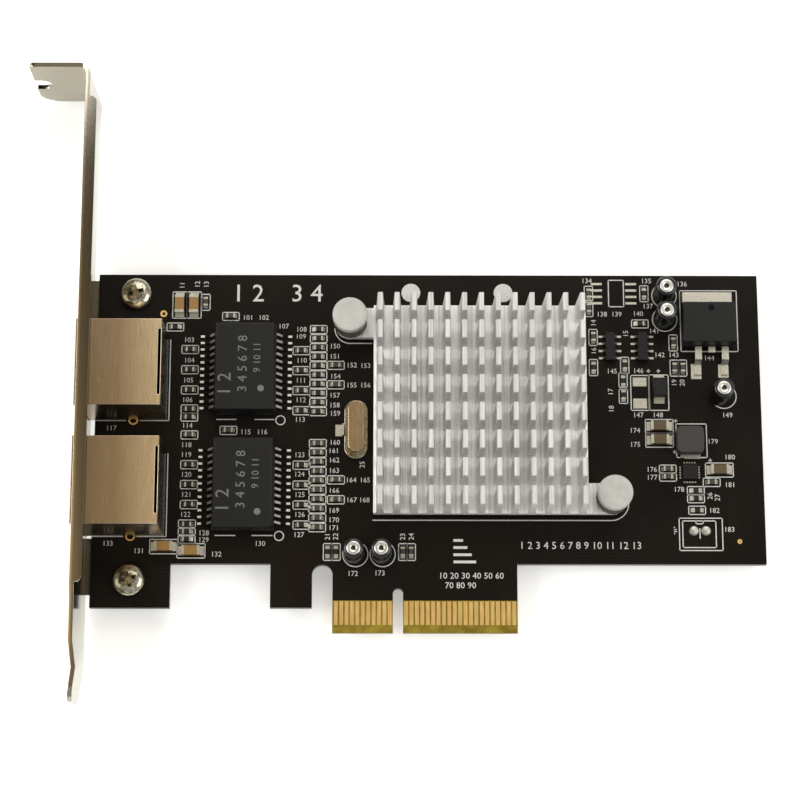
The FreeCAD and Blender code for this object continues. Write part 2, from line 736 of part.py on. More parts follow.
def drafted_block(name, label, x, y, z, width, length, height, draft):
    """A moulded block with sloping sides, widest at its parting line half-way up."""
    body = doc.addObject("PartDesign::Body", name)
    middle = f"({height}) / 2"
    for half, (low, high) in (("Lower", (0, middle)), ("Upper", (middle, height))):
        sections = []
        for end, lift in (("A", low), ("B", high)):
            inset = 0 if lift == middle else draft
            section = new_sketch(body, "XY_Plane", f"{name}{half}{end}", lift)
            rectangle(section, f"{inset} - ({width}) / 2", f"{inset} - ({length}) / 2",
                      f"({width}) / 2 - {inset}", f"({length}) / 2 - {inset}")
            sections.append(section)
        loft = body.newObject("PartDesign::AdditiveLoft", name + half)
        loft.Profile = sections[0]
        loft.Sections = sections[1:]
        loft.Ruled = True
        doc.recompute()
    place(body, x, y, z)
    return finish(body, label)


def transformers():
    """The two moulded isolation transformers and their leads."""
    for label, jack_row in (("upper", UPPER_JACK), ("lower", LOWER_JACK)):
        row = f"{jack_row} + transformer_shift"
        drafted_block("Transformer" + label, f"transformer_body_{label}", "-transformer_from_key", row,
                      f"{BOARD_TOP} + transformer_lift", "transformer_width", "transformer_length",
                      "transformer_height", "transformer_draft")
        bent_leads("transformer", "TransformerLeads" + label, f"transformer_leads_{label}",
                   "transformer_width / 2", "-transformer_from_key", row)


def controller():
    """The controller chip under the heat sink and the soft pad between them."""
    centre_x = "sink_width / 2 - sink_left - controller_width / 2"
    centre_y = "sink_bottom + sink_length / 2 - controller_width / 2"
    finish(box("Controller", centre_x, centre_y, BOARD_TOP, "controller_width", "controller_width",
               "controller_height"), "controller_chip")
    finish(box("ThermalPad", centre_x, centre_y, f"{BOARD_TOP} + controller_height", "controller_width",
               "controller_width", "pad_thickness"), "thermal_pad")


def heat_sink():
    """The cross-cut heat sink: tapered fins sawn across into pins, and two rounded ears at opposite corners."""
    body = doc.addObject("PartDesign::Body", "HeatSink")
    base = new_sketch(body, "XY_Plane", "SinkBase", SINK_SEAT)
    right = "sink_width - sink_left"
    top = "sink_bottom + sink_length"
    rectangle(base, "-sink_left", "sink_bottom", right, top)
    pad(body, base, "sink_base", name="SinkBasePad")
    for name, inner, outer, low in (
        ("Left", "-sink_left", "-sink_left - ear_length", f"{top} - sink_ear_inset - sink_ear_width"),
        ("Right", right, f"{right} + ear_length", "sink_bottom"),
    ):
        ear = new_sketch(body, "XY_Plane", name + "Ear", SINK_SEAT)
        rectangle(ear, inner, low, outer, f"{low} + sink_ear_width")
        pad(body, ear, "sink_base", name=name + "EarPad")
        fillet(body, f"sink_ear_width * {HALF_ROUND}", lambda middle, way: along(way, "z") and near(middle.x, outer),
               name + "EarRound")
    fin = new_sketch(body, "XZ_Plane", "FinSection", f"-({top})")
    centre = "fin_margin + fin_root / 2 - sink_left"
    loop(fin, [
        (f"{centre} - fin_root / 2", EAR_TOP), (f"{centre} + fin_root / 2", EAR_TOP),
        (f"{centre} + fin_tip / 2", SINK_TOP), (f"{centre} - fin_tip / 2", SINK_TOP),
    ])
    blade = pad(body, fin, "sink_length", name="Fin")
    pattern(body, blade, "X_Axis", FIN_PITCH, "fin_columns", "FinRow")
    saw = new_sketch(body, "YZ_Plane", "SawCut", f"-sink_left - {OVERCUT}")
    pitch = "(sink_length + cut_width) / fin_rows"
    first = f"sink_bottom + {pitch} - cut_width"
    rectangle(saw, first, EAR_TOP, f"{first} + cut_width", f"{SINK_TOP} + {OVERCUT}")
    trench = cut_to(body, saw, f"sink_width + {OVERCUT * 2}", against=True, name="Trench")
    pattern(body, trench, "Y_Axis", pitch, "fin_rows - 1", "TrenchRow")
    holes = new_sketch(body, "XY_Plane", "EarBores")
    for x, y in PIN_PLACES:
        circle(holes, x, y, "pin_radius + pin_hole_clearance")
    cut_through(body, holes, "EarBoreCut")
    return finish(body, "heat_sink")


def push_pins():
    """Two moulded push pins: a flat head on the heat sink's side and a tapered tip behind the board."""
    seat = f"{EAR_TOP} + pin_head_lift"
    pins = []
    for index, (x, y) in enumerate(PIN_PLACES, start=1):
        pin = revolved(f"Pin{index}", [
            (0, f"{BOARD_UNDERSIDE} - pin_tip_depth"), ("pin_radius", BOARD_UNDERSIDE),
            ("pin_radius", seat), ("pin_head_radius", seat),
            ("pin_head_radius", f"{seat} + pin_head_height"), (0, f"{seat} + pin_head_height"),
        ])
        place(pin, x, y)
        pins.append(pin)
    group("push_pins", pins)


def crystal():
    """The clock crystal: a flanged base, a drawn oval can, and the strap that earths it."""
    end = "crystal_from_tip - crystal_length / 2"
    for name, label, inset, low, height in (
        ("CrystalBase", "crystal_base", "0", BOARD_TOP, "crystal_flange_height"),
        ("CrystalCan", "crystal_can", "crystal_flange", f"{BOARD_TOP} + crystal_flange_height",
         "crystal_height - crystal_flange_height"),
    ):
        body = doc.addObject("PartDesign::Body", name)
        plan = new_sketch(body, "XY_Plane", name + "Plan", low)
        rectangle(plan, f"-crystal_from_key - crystal_width / 2 + {inset}", f"{end} + {inset}",
                  f"crystal_width / 2 - crystal_from_key - {inset}", f"{end} + crystal_length - {inset}")
        pad(body, plan, height, name=name + "Pad")
        fillet(body, f"(crystal_width - 2 * {inset}) * {HALF_ROUND}", lambda middle, way: along(way, "z"),
               name + "Ends")
        finish(body, label)
    strap = doc.addObject("PartDesign::Body", "CrystalStrap")
    side = new_sketch(strap, "XZ_Plane", "StrapSide", "strap_shift - crystal_from_tip - strap_width / 2")
    inner = "-crystal_from_key - crystal_width / 2 - strap_gap"
    outer = "-crystal_from_key - strap_reach"
    loop(side, [
        (outer, BOARD_TOP), (inner, BOARD_TOP), (inner, f"{BOARD_TOP} + strap_height"),
        (f"{inner} - strap_thickness", f"{BOARD_TOP} + strap_height"),
        (f"{inner} - strap_thickness", f"{BOARD_TOP} + strap_thickness"),
        (outer, f"{BOARD_TOP} + strap_thickness"),
    ])
    pad(strap, side, "strap_width", name="StrapPad")
    finish(strap, "crystal_strap")


def upright_capacitors():
    """Five upright capacitors: aluminium cans standing on the board."""
    cans = []
    for index, (x, y) in enumerate(CAN_PLACES, start=1):
        can = revolved(f"Can{index}", [
            (0, 0), ("can_radius", 0), ("can_radius", "can_height"), (0, "can_height"),
        ])
        place(can, x, y, BOARD_TOP)
        cans.append(can)
    group("upright_capacitors", cans)


def regulator():
    """The voltage regulator: drafted moulding, thick metal tab, two bent leads and the cropped middle one."""
    body = doc.addObject("PartDesign::Body", "Regulator")
    side = new_sketch(body, "YZ_Plane", "RegulatorSide", "regulator_from_key")
    near_side = "regulator_from_tip"
    far_side = "regulator_from_tip + regulator_length"
    low = f"{BOARD_TOP} + regulator_tab_thickness"
    top = f"{BOARD_TOP} + regulator_height"
    loop(side, [
        (near_side, low), (far_side, low), (f"{far_side} - regulator_draft", top),
        (f"{near_side} + regulator_draft", top),
    ])
    pad(body, side, "regulator_width", name="RegulatorPad")
    finish(body, "regulator_body")
    finish(box("RegulatorTab", "regulator_from_key + regulator_tab_margin / 2",
               f"{near_side} + regulator_tab_margin", BOARD_TOP, "regulator_width - regulator_tab_margin",
               "regulator_length + regulator_tab_reach - regulator_tab_margin",
               "regulator_tab_thickness"), "regulator_tab")
    leads = doc.addObject("PartDesign::Body", "RegulatorLeads")
    bend = new_sketch(leads, "YZ_Plane", "RegulatorLeadSide", "-regulator_lead_width / 2")
    end = f"{near_side} - regulator_lead_reach"
    knee = f"{end} + regulator_lead_foot"
    shoulder = f"{low} + regulator_lead_rise"
    slant = "regulator_lead_thickness / 2"
    loop(bend, [
        (end, BOARD_TOP), (f"{knee} + {slant}", BOARD_TOP),
        (f"{knee} + {slant} + regulator_lead_slope", f"{shoulder} - regulator_lead_thickness"),
        (near_side, f"{shoulder} - regulator_lead_thickness"), (near_side, shoulder),
        (f"{knee} - {slant} + regulator_lead_slope", shoulder),
        (f"{knee} - {slant}", f"{BOARD_TOP} + regulator_lead_thickness"),
        (end, f"{BOARD_TOP} + regulator_lead_thickness"),
    ])
    lead = pad(leads, bend, "regulator_lead_width", name="RegulatorLead")
    pattern(leads, lead, "X_Axis", "regulator_lead_spacing", 2, "RegulatorLeadRow")
    stub = new_sketch(leads, "YZ_Plane", "RegulatorStub",
                      "regulator_lead_spacing / 2 - regulator_lead_width / 2")
    rectangle(stub, f"{near_side} - regulator_stub_reach", f"{shoulder} - regulator_lead_thickness",
              near_side, shoulder)
    pad(leads, stub, "regulator_lead_width", name="RegulatorStubPad")
    middle = "regulator_from_key + regulator_width / 2 + regulator_lead_shift"
    place(leads, f"{middle} - regulator_lead_spacing / 2")
    finish(leads, "regulator_leads")


def inductor():
    """The shielded inductor and its two end terminals."""
    drafted_block("Inductor", "inductor_core", "inductor_from_key", "inductor_from_tip",
                  f"{BOARD_TOP} + inductor_terminal_thickness", "inductor_width", "inductor_width",
                  "inductor_height - inductor_terminal_thickness", "inductor_draft")
    outer = "(inductor_width / 2 + inductor_terminal_stand)"
    ends = []
    for index, start in enumerate((f"-{outer}", f"{outer} - inductor_terminal_length")):
        ends.append(box(f"InductorEnd{index}", "inductor_from_key - inductor_terminal_width / 2",
                        f"inductor_from_tip + {start}", BOARD_TOP, "inductor_terminal_width",
                        "inductor_terminal_length", "inductor_terminal_thickness"))
    group("inductor_terminals", ends)


def converter():
    """The small power converter, a flat square moulding."""
    finish(box("Converter", "converter_from_key - converter_width / 2",
               "converter_from_tip - converter_width / 2", BOARD_TOP, "converter_width", "converter_width",
               "converter_height"), "converter_chip")


def diode():
    """The rectifier diode: a drafted moulding with an angled terminal at each end."""
    drafted_block("Diode", "diode_body", "diode_from_key", "diode_from_tip",
                  f"{BOARD_TOP} + diode_terminal_thickness", "diode_width", "diode_length", "diode_height",
                  "diode_draft")
    terminals = doc.addObject("PartDesign::Body", "DiodeTerminals")
    side = new_sketch(terminals, "YZ_Plane", "DiodeTerminalSide", "diode_from_key - diode_terminal_width / 2")
    for out, back in (("+", "-"), ("-", "+")):
        face = f"diode_from_tip {out} diode_length / 2"
        skin = f"{face} {out} diode_terminal_thickness"
        toe = f"{face} {out} diode_terminal_foot"
        heel = f"{face} {back} diode_terminal_heel"
        foot_top = f"{BOARD_TOP} + diode_terminal_thickness"
        loop(side, [
            (heel, BOARD_TOP), (toe, BOARD_TOP), (toe, foot_top), (skin, foot_top),
            (skin, f"{BOARD_TOP} + diode_terminal_height"), (face, f"{BOARD_TOP} + diode_terminal_height"),
            (face, foot_top), (heel, foot_top),
        ])
    pad(terminals, side, "diode_terminal_width", name="DiodeTerminalPad")
    finish(terminals, "diode_terminals")


def transistors():
    """Two small eight-lead transistors side by side."""
    for label, shift in (("left", "0"), ("right", "transistor_spacing")):
        column = f"transistor_from_key + {shift}"
        drafted_block("Transistor" + label, f"transistor_body_{label}", column, "transistor_from_tip",
                      f"{BOARD_TOP} + transistor_lift", "transistor_width", "transistor_length",
                      "transistor_height", "transistor_draft")
        bent_leads("transistor", "TransistorLeads" + label, f"transistor_leads_{label}",
                   "transistor_width / 2", column, "transistor_from_tip")


def chip_places(rows):
    """Each chip of some rows: its row, its number in it, its centre and whether it lies along Y."""
    for row_index, (x, y, step_x, step_y, count, turned) in enumerate(rows):
        for index in range(int(count)):
            yield f"{row_index}_{index}", x + index * step_x, y + index * step_y, turned


def small_chips(label, rows, height):
    """All small chips of one kind, each a block with its plated ends."""
    chips = []
    for name, x, y, turned in chip_places(rows):
        length, width = ("chip_width", "chip_length") if turned else ("chip_length", "chip_width")
        chips.append(box(f"{label}{name}", f"{x} - {length} / 2", f"{y} - {width} / 2", BOARD_TOP,
                         length, width, height))
    group(label, chips)


def large_capacitors():
    """The large ceramic capacitors: a body between two plated ends that stand a little proud of it."""
    bodies = []
    terminals = []
    inner = "(large_chip_length / 2 - large_chip_terminal)"
    for name, x, y, turned in chip_places(LARGE_ROWS):
        bar = (f"{inner} * 2", "large_chip_width")
        cap = ("large_chip_terminal", "large_chip_width + large_chip_step * 2")
        starts = (f"-{inner}", f"-{inner} - large_chip_terminal", inner)
        body_x, body_y = f"{x} + {starts[0]}", f"{y} - large_chip_width / 2"
        if turned:
            bar, cap = bar[::-1], cap[::-1]
            body_x, body_y = f"{x} - large_chip_width / 2", f"{y} + {starts[0]}"
        bodies.append(box(f"LargeBody{name}", body_x, body_y, BOARD_TOP, *bar, "large_chip_height"))
        for side, start in zip(("Low", "High"), starts[1:]):
            place_x, place_y = f"{x} + {start}", f"{y} - large_chip_width / 2 - large_chip_step"
            if turned:
                place_x, place_y = f"{x} - large_chip_width / 2 - large_chip_step", f"{y} + {start}"
            terminals.append(box(f"LargeEnd{name}{side}", place_x, place_y, BOARD_TOP, *cap,
                                 "large_chip_height + large_chip_step"))
    group("large_capacitor_bodies", bodies)
    group("large_capacitor_terminals", terminals)


PIN_PLACES = [
    ("-sink_left - ear_length + sink_ear_width / 2",
     "sink_bottom + sink_length - sink_ear_inset - sink_ear_width / 2"),
    ("sink_width - sink_left + ear_length - sink_ear_width / 2", "sink_bottom + sink_ear_width / 2"),
]
JACK_ROWS = (UPPER_JACK, LOWER_JACK)
CAN_PLACES = [(-8.2, 14.67), (-3.1, 14.67), (50.45, 64.69), (50.45, 60.03), (60.7, 44.98)]
# Rows of chips: first x, first y, step in x, step in y, count, and whether the chips lie along Y.
RESISTOR_ROWS = [
    (-39.45, 53.94, 0.03, -3.95, 3, False), (-39.35, 42.35, 0, -1.55, 2, False),
    (-39.2, 31.61, 0.05, -3.8, 3, False), (-39.36, 20.3, 0, -1.42, 3, False), (-42.38, 58.37, 0, 0, 1, False), (-15.11, 57.9, 0, -1.78, 10, False),
    (-18.37, 53.75, 0.03, -3.9, 4, False), (-18.13, 31.55, 0.04, -3.8, 4, False),
    (-13.1, 15.09, 1.55, 0, 2, True), (46.01, 59.14, 0, 0, 1, False), (46.92, 65.11, 0, 0, 1, True),
    (42.95, 51.0, 0, 0, 1, True), (42.57, 47.9, 0, -2.75, 2, True), (55.74, 26.8, 0, -1.5, 2, False),
    (55.89, 23.07, 0, 0, 1, False), (37.02, 50.55, 0, 0, 1, True),
]
CERAMIC_ROWS = [
    (-36.66, 63.24, 0, 0, 1, True), (-39.26, 37.34, 0, 0, 1, False), (-31.86, 60.46, 0, 0, 1, False),
    (-31.94, 38.22, 0, 0, 1, False), (-15.09, 35.7, 0, -1.78, 10, False), (-11.8, 50.89, 0, -3.8, 2, False),
    (-11.63, 28.76, 0, -3.8, 2, False), (0.9, 15.09, 1.55, 0, 2, True), (36.32, 65.0, 0, -2.85, 2, True),
    (37.05, 56.46, 0, 0, 1, True), (52.25, 55.41, 0, 0, 1, True), (52.35, 50.47, 1.55, 0, 2, True),
    (50.6, 30.9, 0, -1.5, 2, False), (58.77, 28.4, 0, 0, 1, False),
]
LARGE_ROWS = [
    (-41.61, 62.7, 2.72, 0, 2, True), (-43.6, 16.05, 0, 0, 1, False), (-38.5, 15.26, 0, 0, 1, False),
    (49.2, 39.12, 0, -2.65, 2, False), (60.28, 30.76, 0, 0, 1, False),
]

circuit_board()
edge_contacts()
bracket()
bracket_screws()
for name, jack_row in zip(("upper", "lower"), JACK_ROWS):
    jack_shield(name, jack_row)
    jack_housing(name, jack_row)
    jack_wires(name, jack_row)
jack_lights()
transformers()
controller()
heat_sink()
push_pins()
crystal()
upright_capacitors()
regulator()
inductor()
converter()
diode()
transistors()
small_chips("chip_resistors", RESISTOR_ROWS, "resistor_height")
small_chips("chip_capacitors", CERAMIC_ROWS, "ceramic_height")
large_capacitors()
doc.recompute()

for item in doc.Objects:
    if "Invalid" in item.State or "Error" in item.State:
        raise RuntimeError(f"{item.Label} failed: {item.State}")
os.makedirs("parts", exist_ok=True)
for item in parts:
    if item.Shape.isNull() or not item.Shape.isValid():
        raise RuntimeError(f"{item.Label} has no valid shape")
    item.Shape.exportStep(f"parts/{item.Label}.step")
print(len(parts), "sub-parts written")
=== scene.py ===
# A network interface card, lying component side up on a pale table and seen from above.
import math

import bmesh
import bpy
from mathutils import Euler, Matrix, Vector


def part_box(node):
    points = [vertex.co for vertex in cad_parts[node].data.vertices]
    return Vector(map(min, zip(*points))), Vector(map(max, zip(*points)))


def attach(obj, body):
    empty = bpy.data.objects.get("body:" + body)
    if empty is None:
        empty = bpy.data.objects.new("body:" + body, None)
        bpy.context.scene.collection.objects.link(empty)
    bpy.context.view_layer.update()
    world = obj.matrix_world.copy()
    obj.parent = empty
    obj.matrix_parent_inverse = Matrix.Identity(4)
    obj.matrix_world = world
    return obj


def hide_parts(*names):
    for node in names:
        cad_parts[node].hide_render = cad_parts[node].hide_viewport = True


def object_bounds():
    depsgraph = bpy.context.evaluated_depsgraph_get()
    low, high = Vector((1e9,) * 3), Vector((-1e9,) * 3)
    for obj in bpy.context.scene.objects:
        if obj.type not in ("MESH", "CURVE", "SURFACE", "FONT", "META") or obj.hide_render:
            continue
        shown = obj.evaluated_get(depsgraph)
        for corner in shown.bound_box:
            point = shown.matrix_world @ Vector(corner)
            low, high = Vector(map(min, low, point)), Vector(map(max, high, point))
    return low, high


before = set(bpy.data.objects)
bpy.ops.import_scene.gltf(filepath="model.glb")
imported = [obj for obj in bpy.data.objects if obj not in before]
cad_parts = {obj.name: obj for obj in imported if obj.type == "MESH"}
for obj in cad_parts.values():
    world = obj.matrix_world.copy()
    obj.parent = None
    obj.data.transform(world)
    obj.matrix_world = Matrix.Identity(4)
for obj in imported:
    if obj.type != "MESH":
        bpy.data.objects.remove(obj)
cad_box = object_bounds()


# The view. The photograph was taken from about 0.43 m, nearly straight above the card and a little towards
# its connector edge.
MM = 0.001
camera = bpy.data.objects.new("camera", bpy.data.cameras.new("camera"))
camera.data.lens = 105.39
camera.data.sensor_width = 36
camera.location = Vector((-1.560, -58.565, 430.986)) * MM
camera.rotation_euler = Euler((0.2344, -0.0046, 0.0007))
camera.data.clip_start = 0.01
camera.data.clip_end = 20
bpy.context.scene.collection.objects.link(camera)
bpy.context.scene.camera = camera
bpy.context.scene.view_settings.view_transform = "Standard"


# The table and the light: a sweep of matt white card that reads as white behind the object, and a light tent
# with three soft lamps. Overhead, towards the far left, the tent is open to a dim warm room, which bare metal
# picks up.
def tone(code):
    """A colour written as an sRGB hex value, turned to the linear values that shaders take."""
    parts = [int(code[place:place + 2], 16) / 255 for place in (1, 3, 5)]
    return [part / 12.92 if part <= 0.04045 else ((part + 0.055) / 1.055) ** 2.4 for part in parts] + [1]


def feed(node, inputs):
    """Feeds a node: an input given as another node's output is linked, any other is set."""
    for key, value in inputs.items():
        if isinstance(value, bpy.types.NodeSocket):
            node.id_data.links.new(value, node.inputs[key])
        else:
            node.inputs[key].default_value = value


def add(tree, kind, inputs=None, stops=(), **settings):
    """Adds a node with its settings, its inputs and, where it has a ramp, the ramp's stops."""
    node = tree.nodes.new(kind)
    for key, value in settings.items():
        setattr(node, key, value)
    for index, (spot, code) in enumerate(stops):
        if index > 1:
            node.color_ramp.elements.new(spot)
        node.color_ramp.elements[index].position = spot
        node.color_ramp.elements[index].color = tone(code)
    feed(node, inputs or {})
    return node


card = bpy.data.materials.new("matt white card")
card.use_nodes = True
tree = card.node_tree
tree.nodes.clear()
ray = add(tree, "ShaderNodeLightPath").outputs
direct = add(tree, "ShaderNodeMath", {0: ray["Is Camera Ray"], 1: ray["Is Glossy Ray"]}, operation="MAXIMUM")
seen = add(tree, "ShaderNodeMath", {0: direct.outputs[0], 1: ray["Is Transmission Ray"]}, operation="MAXIMUM")
paper = add(tree, "ShaderNodeBsdfDiffuse", {"Color": tone("#f4f4f2")})
glow = add(tree, "ShaderNodeEmission", {"Color": tone("#ffffff"), "Strength": 0.34})
lit = add(tree, "ShaderNodeAddShader", {0: paper.outputs[0], 1: glow.outputs[0]})
sheet = add(tree, "ShaderNodeMixShader", {0: seen.outputs[0], 1: paper.outputs[0], 2: lit.outputs[0]})
add(tree, "ShaderNodeOutputMaterial", {"Surface": sheet.outputs[0]})
card_middle = Vector((0, 40, 0)) * MM
table_height = cad_box[0][2] - 0.2 * MM
bpy.ops.mesh.primitive_plane_add(size=3, location=(0, card_middle.y, table_height))
table = bpy.context.object
table.name = "table"
table.data.materials.append(card)

tent = bpy.data.worlds.new("light tent")
bpy.context.scene.world = tent
tent.use_nodes = True
tree = tent.node_tree
tree.nodes.clear()
way = add(tree, "ShaderNodeTexCoord").outputs["Generated"]
gap_way = Vector((-0.35, 0.45, 1.0)).normalized()
nearness = add(tree, "ShaderNodeVectorMath", {0: way, 1: gap_way}, operation="DOT_PRODUCT").outputs["Value"]
opening = add(tree, "ShaderNodeValToRGB", {"Fac": nearness},
              stops=[(0.0, "#dededc"), (0.76, "#e6e6e2"), (0.86, "#94886f"), (0.95, "#d9c09a"), (0.972, "#a08c6a"),
                     (0.99, "#1e1910")])
soft = add(tree, "ShaderNodeBackground", {"Color": opening.outputs["Color"], "Strength": 0.8})
white = add(tree, "ShaderNodeBackground", {"Color": tone("#ffffff"), "Strength": 1.0})
ray = add(tree, "ShaderNodeLightPath").outputs
walls = add(tree, "ShaderNodeMixShader", {0: ray["Is Camera Ray"], 1: soft.outputs[0], 2: white.outputs[0]})
add(tree, "ShaderNodeOutputWorld", {"Surface": walls.outputs[0]})

lamp_size = 0.5
for name, spot, power in (
    ("lamp_far", (0.05, 0.55, 0.60), 1.7),
    ("lamp_left", (-0.60, 0.05, 0.40), 3.2),
    ("lamp_right", (0.60, -0.10, 0.50), 2.2),
):
    lamp = bpy.data.objects.new(name, bpy.data.lights.new(name, "AREA"))
    lamp.data.size = lamp_size
    lamp.data.energy = power
    lamp.location = spot
    lamp.rotation_euler = (card_middle - Vector(spot)).to_track_quat("-Z", "Y").to_euler()
    bpy.context.scene.collection.objects.link(lamp)


# The circuit board: glass cloth and resin, 1.57 mm thick, routed to shape. A black solder mask covers the
# etched copper, whose tracks show as slightly lighter raised lines; it stops short of the edge connector,
# where the olive laminate is bare, as it is on every cut edge.
def surface(name, roughness, metallic=0.0, ior=1.5):
    """A new material with its tree and shader, ready for its pattern."""
    made = bpy.data.materials.new(name)
    made.use_nodes = True
    shader = made.node_tree.nodes["Principled BSDF"]
    feed(shader, {"Roughness": roughness, "Metallic": metallic, "IOR": ior})
    return made, made.node_tree, shader


def grained(name, dark, light, grain, roughness, metallic=0.0, ior=1.5, uneven=0.0, relief=0.0):
    """A material whose colour runs between two tones over a grain, given in millimetres along X, Y and Z.
    The same grain makes its gloss uneven and raises its surface by the relief, in millimetres."""
    made, tree, shader = surface(name, roughness, metallic, ior)
    spot = add(tree, "ShaderNodeTexCoord").outputs["Object"]
    scaled = add(tree, "ShaderNodeMapping", {"Vector": spot, "Scale": [1 / (MM * size) for size in grain]})
    noise = add(tree, "ShaderNodeTexNoise", {"Vector": scaled.outputs["Vector"], "Scale": 1.0, "Detail": 4.0})
    colour = add(tree, "ShaderNodeValToRGB", {"Fac": noise.outputs["Fac"]}, stops=[(0.3, dark), (0.7, light)])
    feed(shader, {"Base Color": colour.outputs["Color"]})
    if uneven:
        gloss = add(tree, "ShaderNodeMapRange", {"Value": noise.outputs["Fac"], "To Min": roughness - uneven,
                                                 "To Max": roughness + uneven})
        feed(shader, {"Roughness": gloss.outputs["Result"]})
    if relief:
        raised = add(tree, "ShaderNodeBump", {"Height": noise.outputs["Fac"], "Distance": relief * MM,
                                              "Strength": 1.0})
        feed(shader, {"Normal": raised.outputs["Normal"]})
    return made


def dress(finish, *nodes):
    """Gives nodes of the frame their finish."""
    for node in nodes:
        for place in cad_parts[node].material_slots:
            place.material = finish


# The tracks lie in patches about 11 mm wide, some along the card and some across it. Real ones are about
# 0.25 mm apart; these are drawn coarser, so that they show. Under the mask they read as a faint lining.
masked, tree, shader = surface("black solder mask on glass laminate", 0.3)
spot = add(tree, "ShaderNodeTexCoord").outputs["Object"]
patches_per_metre, lying_share, bare_share = 90.0, 0.45, 0.6
track_pitch, track_share, track_height = 0.62 * MM, 0.36, 0.03 * MM
clouds_per_metre, threads_per_metre = 55.0, 500.0
cells = add(tree, "ShaderNodeTexVoronoi", {"Vector": spot, "Scale": patches_per_metre}, distance="CHEBYCHEV")
cell = add(tree, "ShaderNodeSeparateColor", {"Color": cells.outputs["Color"]}).outputs
axis = add(tree, "ShaderNodeSeparateXYZ", {"Vector": spot}).outputs
upright = add(tree, "ShaderNodeMath", {0: cell[0], 1: lying_share}, operation="GREATER_THAN")
across = add(tree, "ShaderNodeMix", {"Factor": upright.outputs[0], "A": axis["Y"], "B": axis["X"]})
steps = add(tree, "ShaderNodeMath", {0: across.outputs["Result"], 1: 1 / track_pitch}, operation="MULTIPLY")
share = add(tree, "ShaderNodeMath", {0: steps.outputs[0]}, operation="FRACT")
track = add(tree, "ShaderNodeMath", {0: share.outputs[0], 1: track_share}, operation="LESS_THAN")
used = add(tree, "ShaderNodeMath", {0: cell[1], 1: bare_share}, operation="GREATER_THAN")
tracks = add(tree, "ShaderNodeMath", {0: track.outputs[0], 1: used.outputs[0]}, operation="MULTIPLY")
cloud = add(tree, "ShaderNodeTexNoise", {"Vector": spot, "Scale": clouds_per_metre, "Detail": 3.0})
mask = add(tree, "ShaderNodeValToRGB", {"Fac": cloud.outputs["Fac"]}, stops=[(0.3, "#120e0c"), (0.7, "#18130f")])
copper = add(tree, "ShaderNodeMix", {"Factor": tracks.outputs[0], "A": mask.outputs["Color"],
                                     "B": tone("#1a1612")}, data_type="RGBA")
weave = add(tree, "ShaderNodeTexNoise", {"Vector": spot, "Scale": threads_per_metre, "Detail": 1.0})
laminate = add(tree, "ShaderNodeValToRGB", {"Fac": weave.outputs["Fac"]},
               stops=[(0.35, "#75621f"), (0.65, "#93802f")])
facing = add(tree, "ShaderNodeNewGeometry").outputs["True Normal"]
upward = add(tree, "ShaderNodeSeparateXYZ", {"Vector": facing}).outputs["Z"]
level = add(tree, "ShaderNodeMath", {0: upward}, operation="ABSOLUTE")
routed = add(tree, "ShaderNodeValToRGB", {"Fac": level.outputs[0]}, stops=[(0.05, "#5a5148"), (0.2, "#ffffff")])
bare = add(tree, "ShaderNodeMix", {"Factor": 1.0, "A": laminate.outputs["Color"], "B": routed.outputs["Color"]},
           data_type="RGBA", blend_type="MULTIPLY")
face = add(tree, "ShaderNodeMath", {0: level.outputs[0], 1: 0.99}, operation="GREATER_THAN")
mask_edge, contacts_side = 6.0 * MM, -13.0 * MM
above = add(tree, "ShaderNodeMath", {0: axis["Y"], 1: mask_edge}, operation="GREATER_THAN")
beside = add(tree, "ShaderNodeMath", {0: axis["X"], 1: contacts_side}, operation="LESS_THAN")
covered = add(tree, "ShaderNodeMath", {0: above.outputs[0], 1: beside.outputs[0]}, operation="MAXIMUM")
masked_here = add(tree, "ShaderNodeMath", {0: covered.outputs[0], 1: face.outputs[0]}, operation="MULTIPLY")
board_colour = add(tree, "ShaderNodeMix", {"Factor": masked_here.outputs[0], "A": bare.outputs["Result"],
                                           "B": copper.outputs["Result"]}, data_type="RGBA")
raised = add(tree, "ShaderNodeBump", {"Height": tracks.outputs[0], "Distance": track_height, "Strength": 0.3})
feed(shader, {"Base Color": board_colour.outputs["Result"], "Normal": raised.outputs["Normal"],
              "Specular IOR Level": 0.12})
dress(masked, "circuit_board")


# The print on the board: white epoxy ink, screened on after the mask and baked hard. It frames every part and
# numbers it, in thin lines that stand a little above the mask.
board_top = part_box("circuit_board")[1][2] / MM
ink_width = 0.19
ink_depth = 0.02
# Screened ink dries matt, and a little grey where it is thin.
ink = grained("white screened epoxy ink", "#bcbcb8", "#d6d6d2", (0.3, 0.3, 0.3), 0.6)


def islands(node):
    """The boxes of a node's separate solids, in millimetres, as pairs of lowest and highest corner."""
    work = bmesh.new()
    work.from_mesh(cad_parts[node].data)
    bmesh.ops.remove_doubles(work, verts=work.verts, dist=0.001 * MM)
    waiting = set(work.verts)
    boxes = []
    while waiting:
        group = [waiting.pop()]
        for vertex in group:
            for edge in vertex.link_edges:
                other = edge.other_vert(vertex)
                if other in waiting:
                    waiting.remove(other)
                    group.append(other)
        boxes.append(tuple(Vector([pick(vertex.co[axis] for vertex in group) / MM for axis in range(3)])
                           for pick in (min, max)))
    work.free()
    return sorted(boxes, key=lambda pair: tuple(pair[0]))


def slab(work, low, high):
    """Adds a block between two corners, in millimetres."""
    low, high = Vector(low), Vector(high)
    for vertex in bmesh.ops.create_cube(work, size=1)["verts"]:
        vertex.co = ((low + high) / 2 + vertex.co * (high - low)) * MM


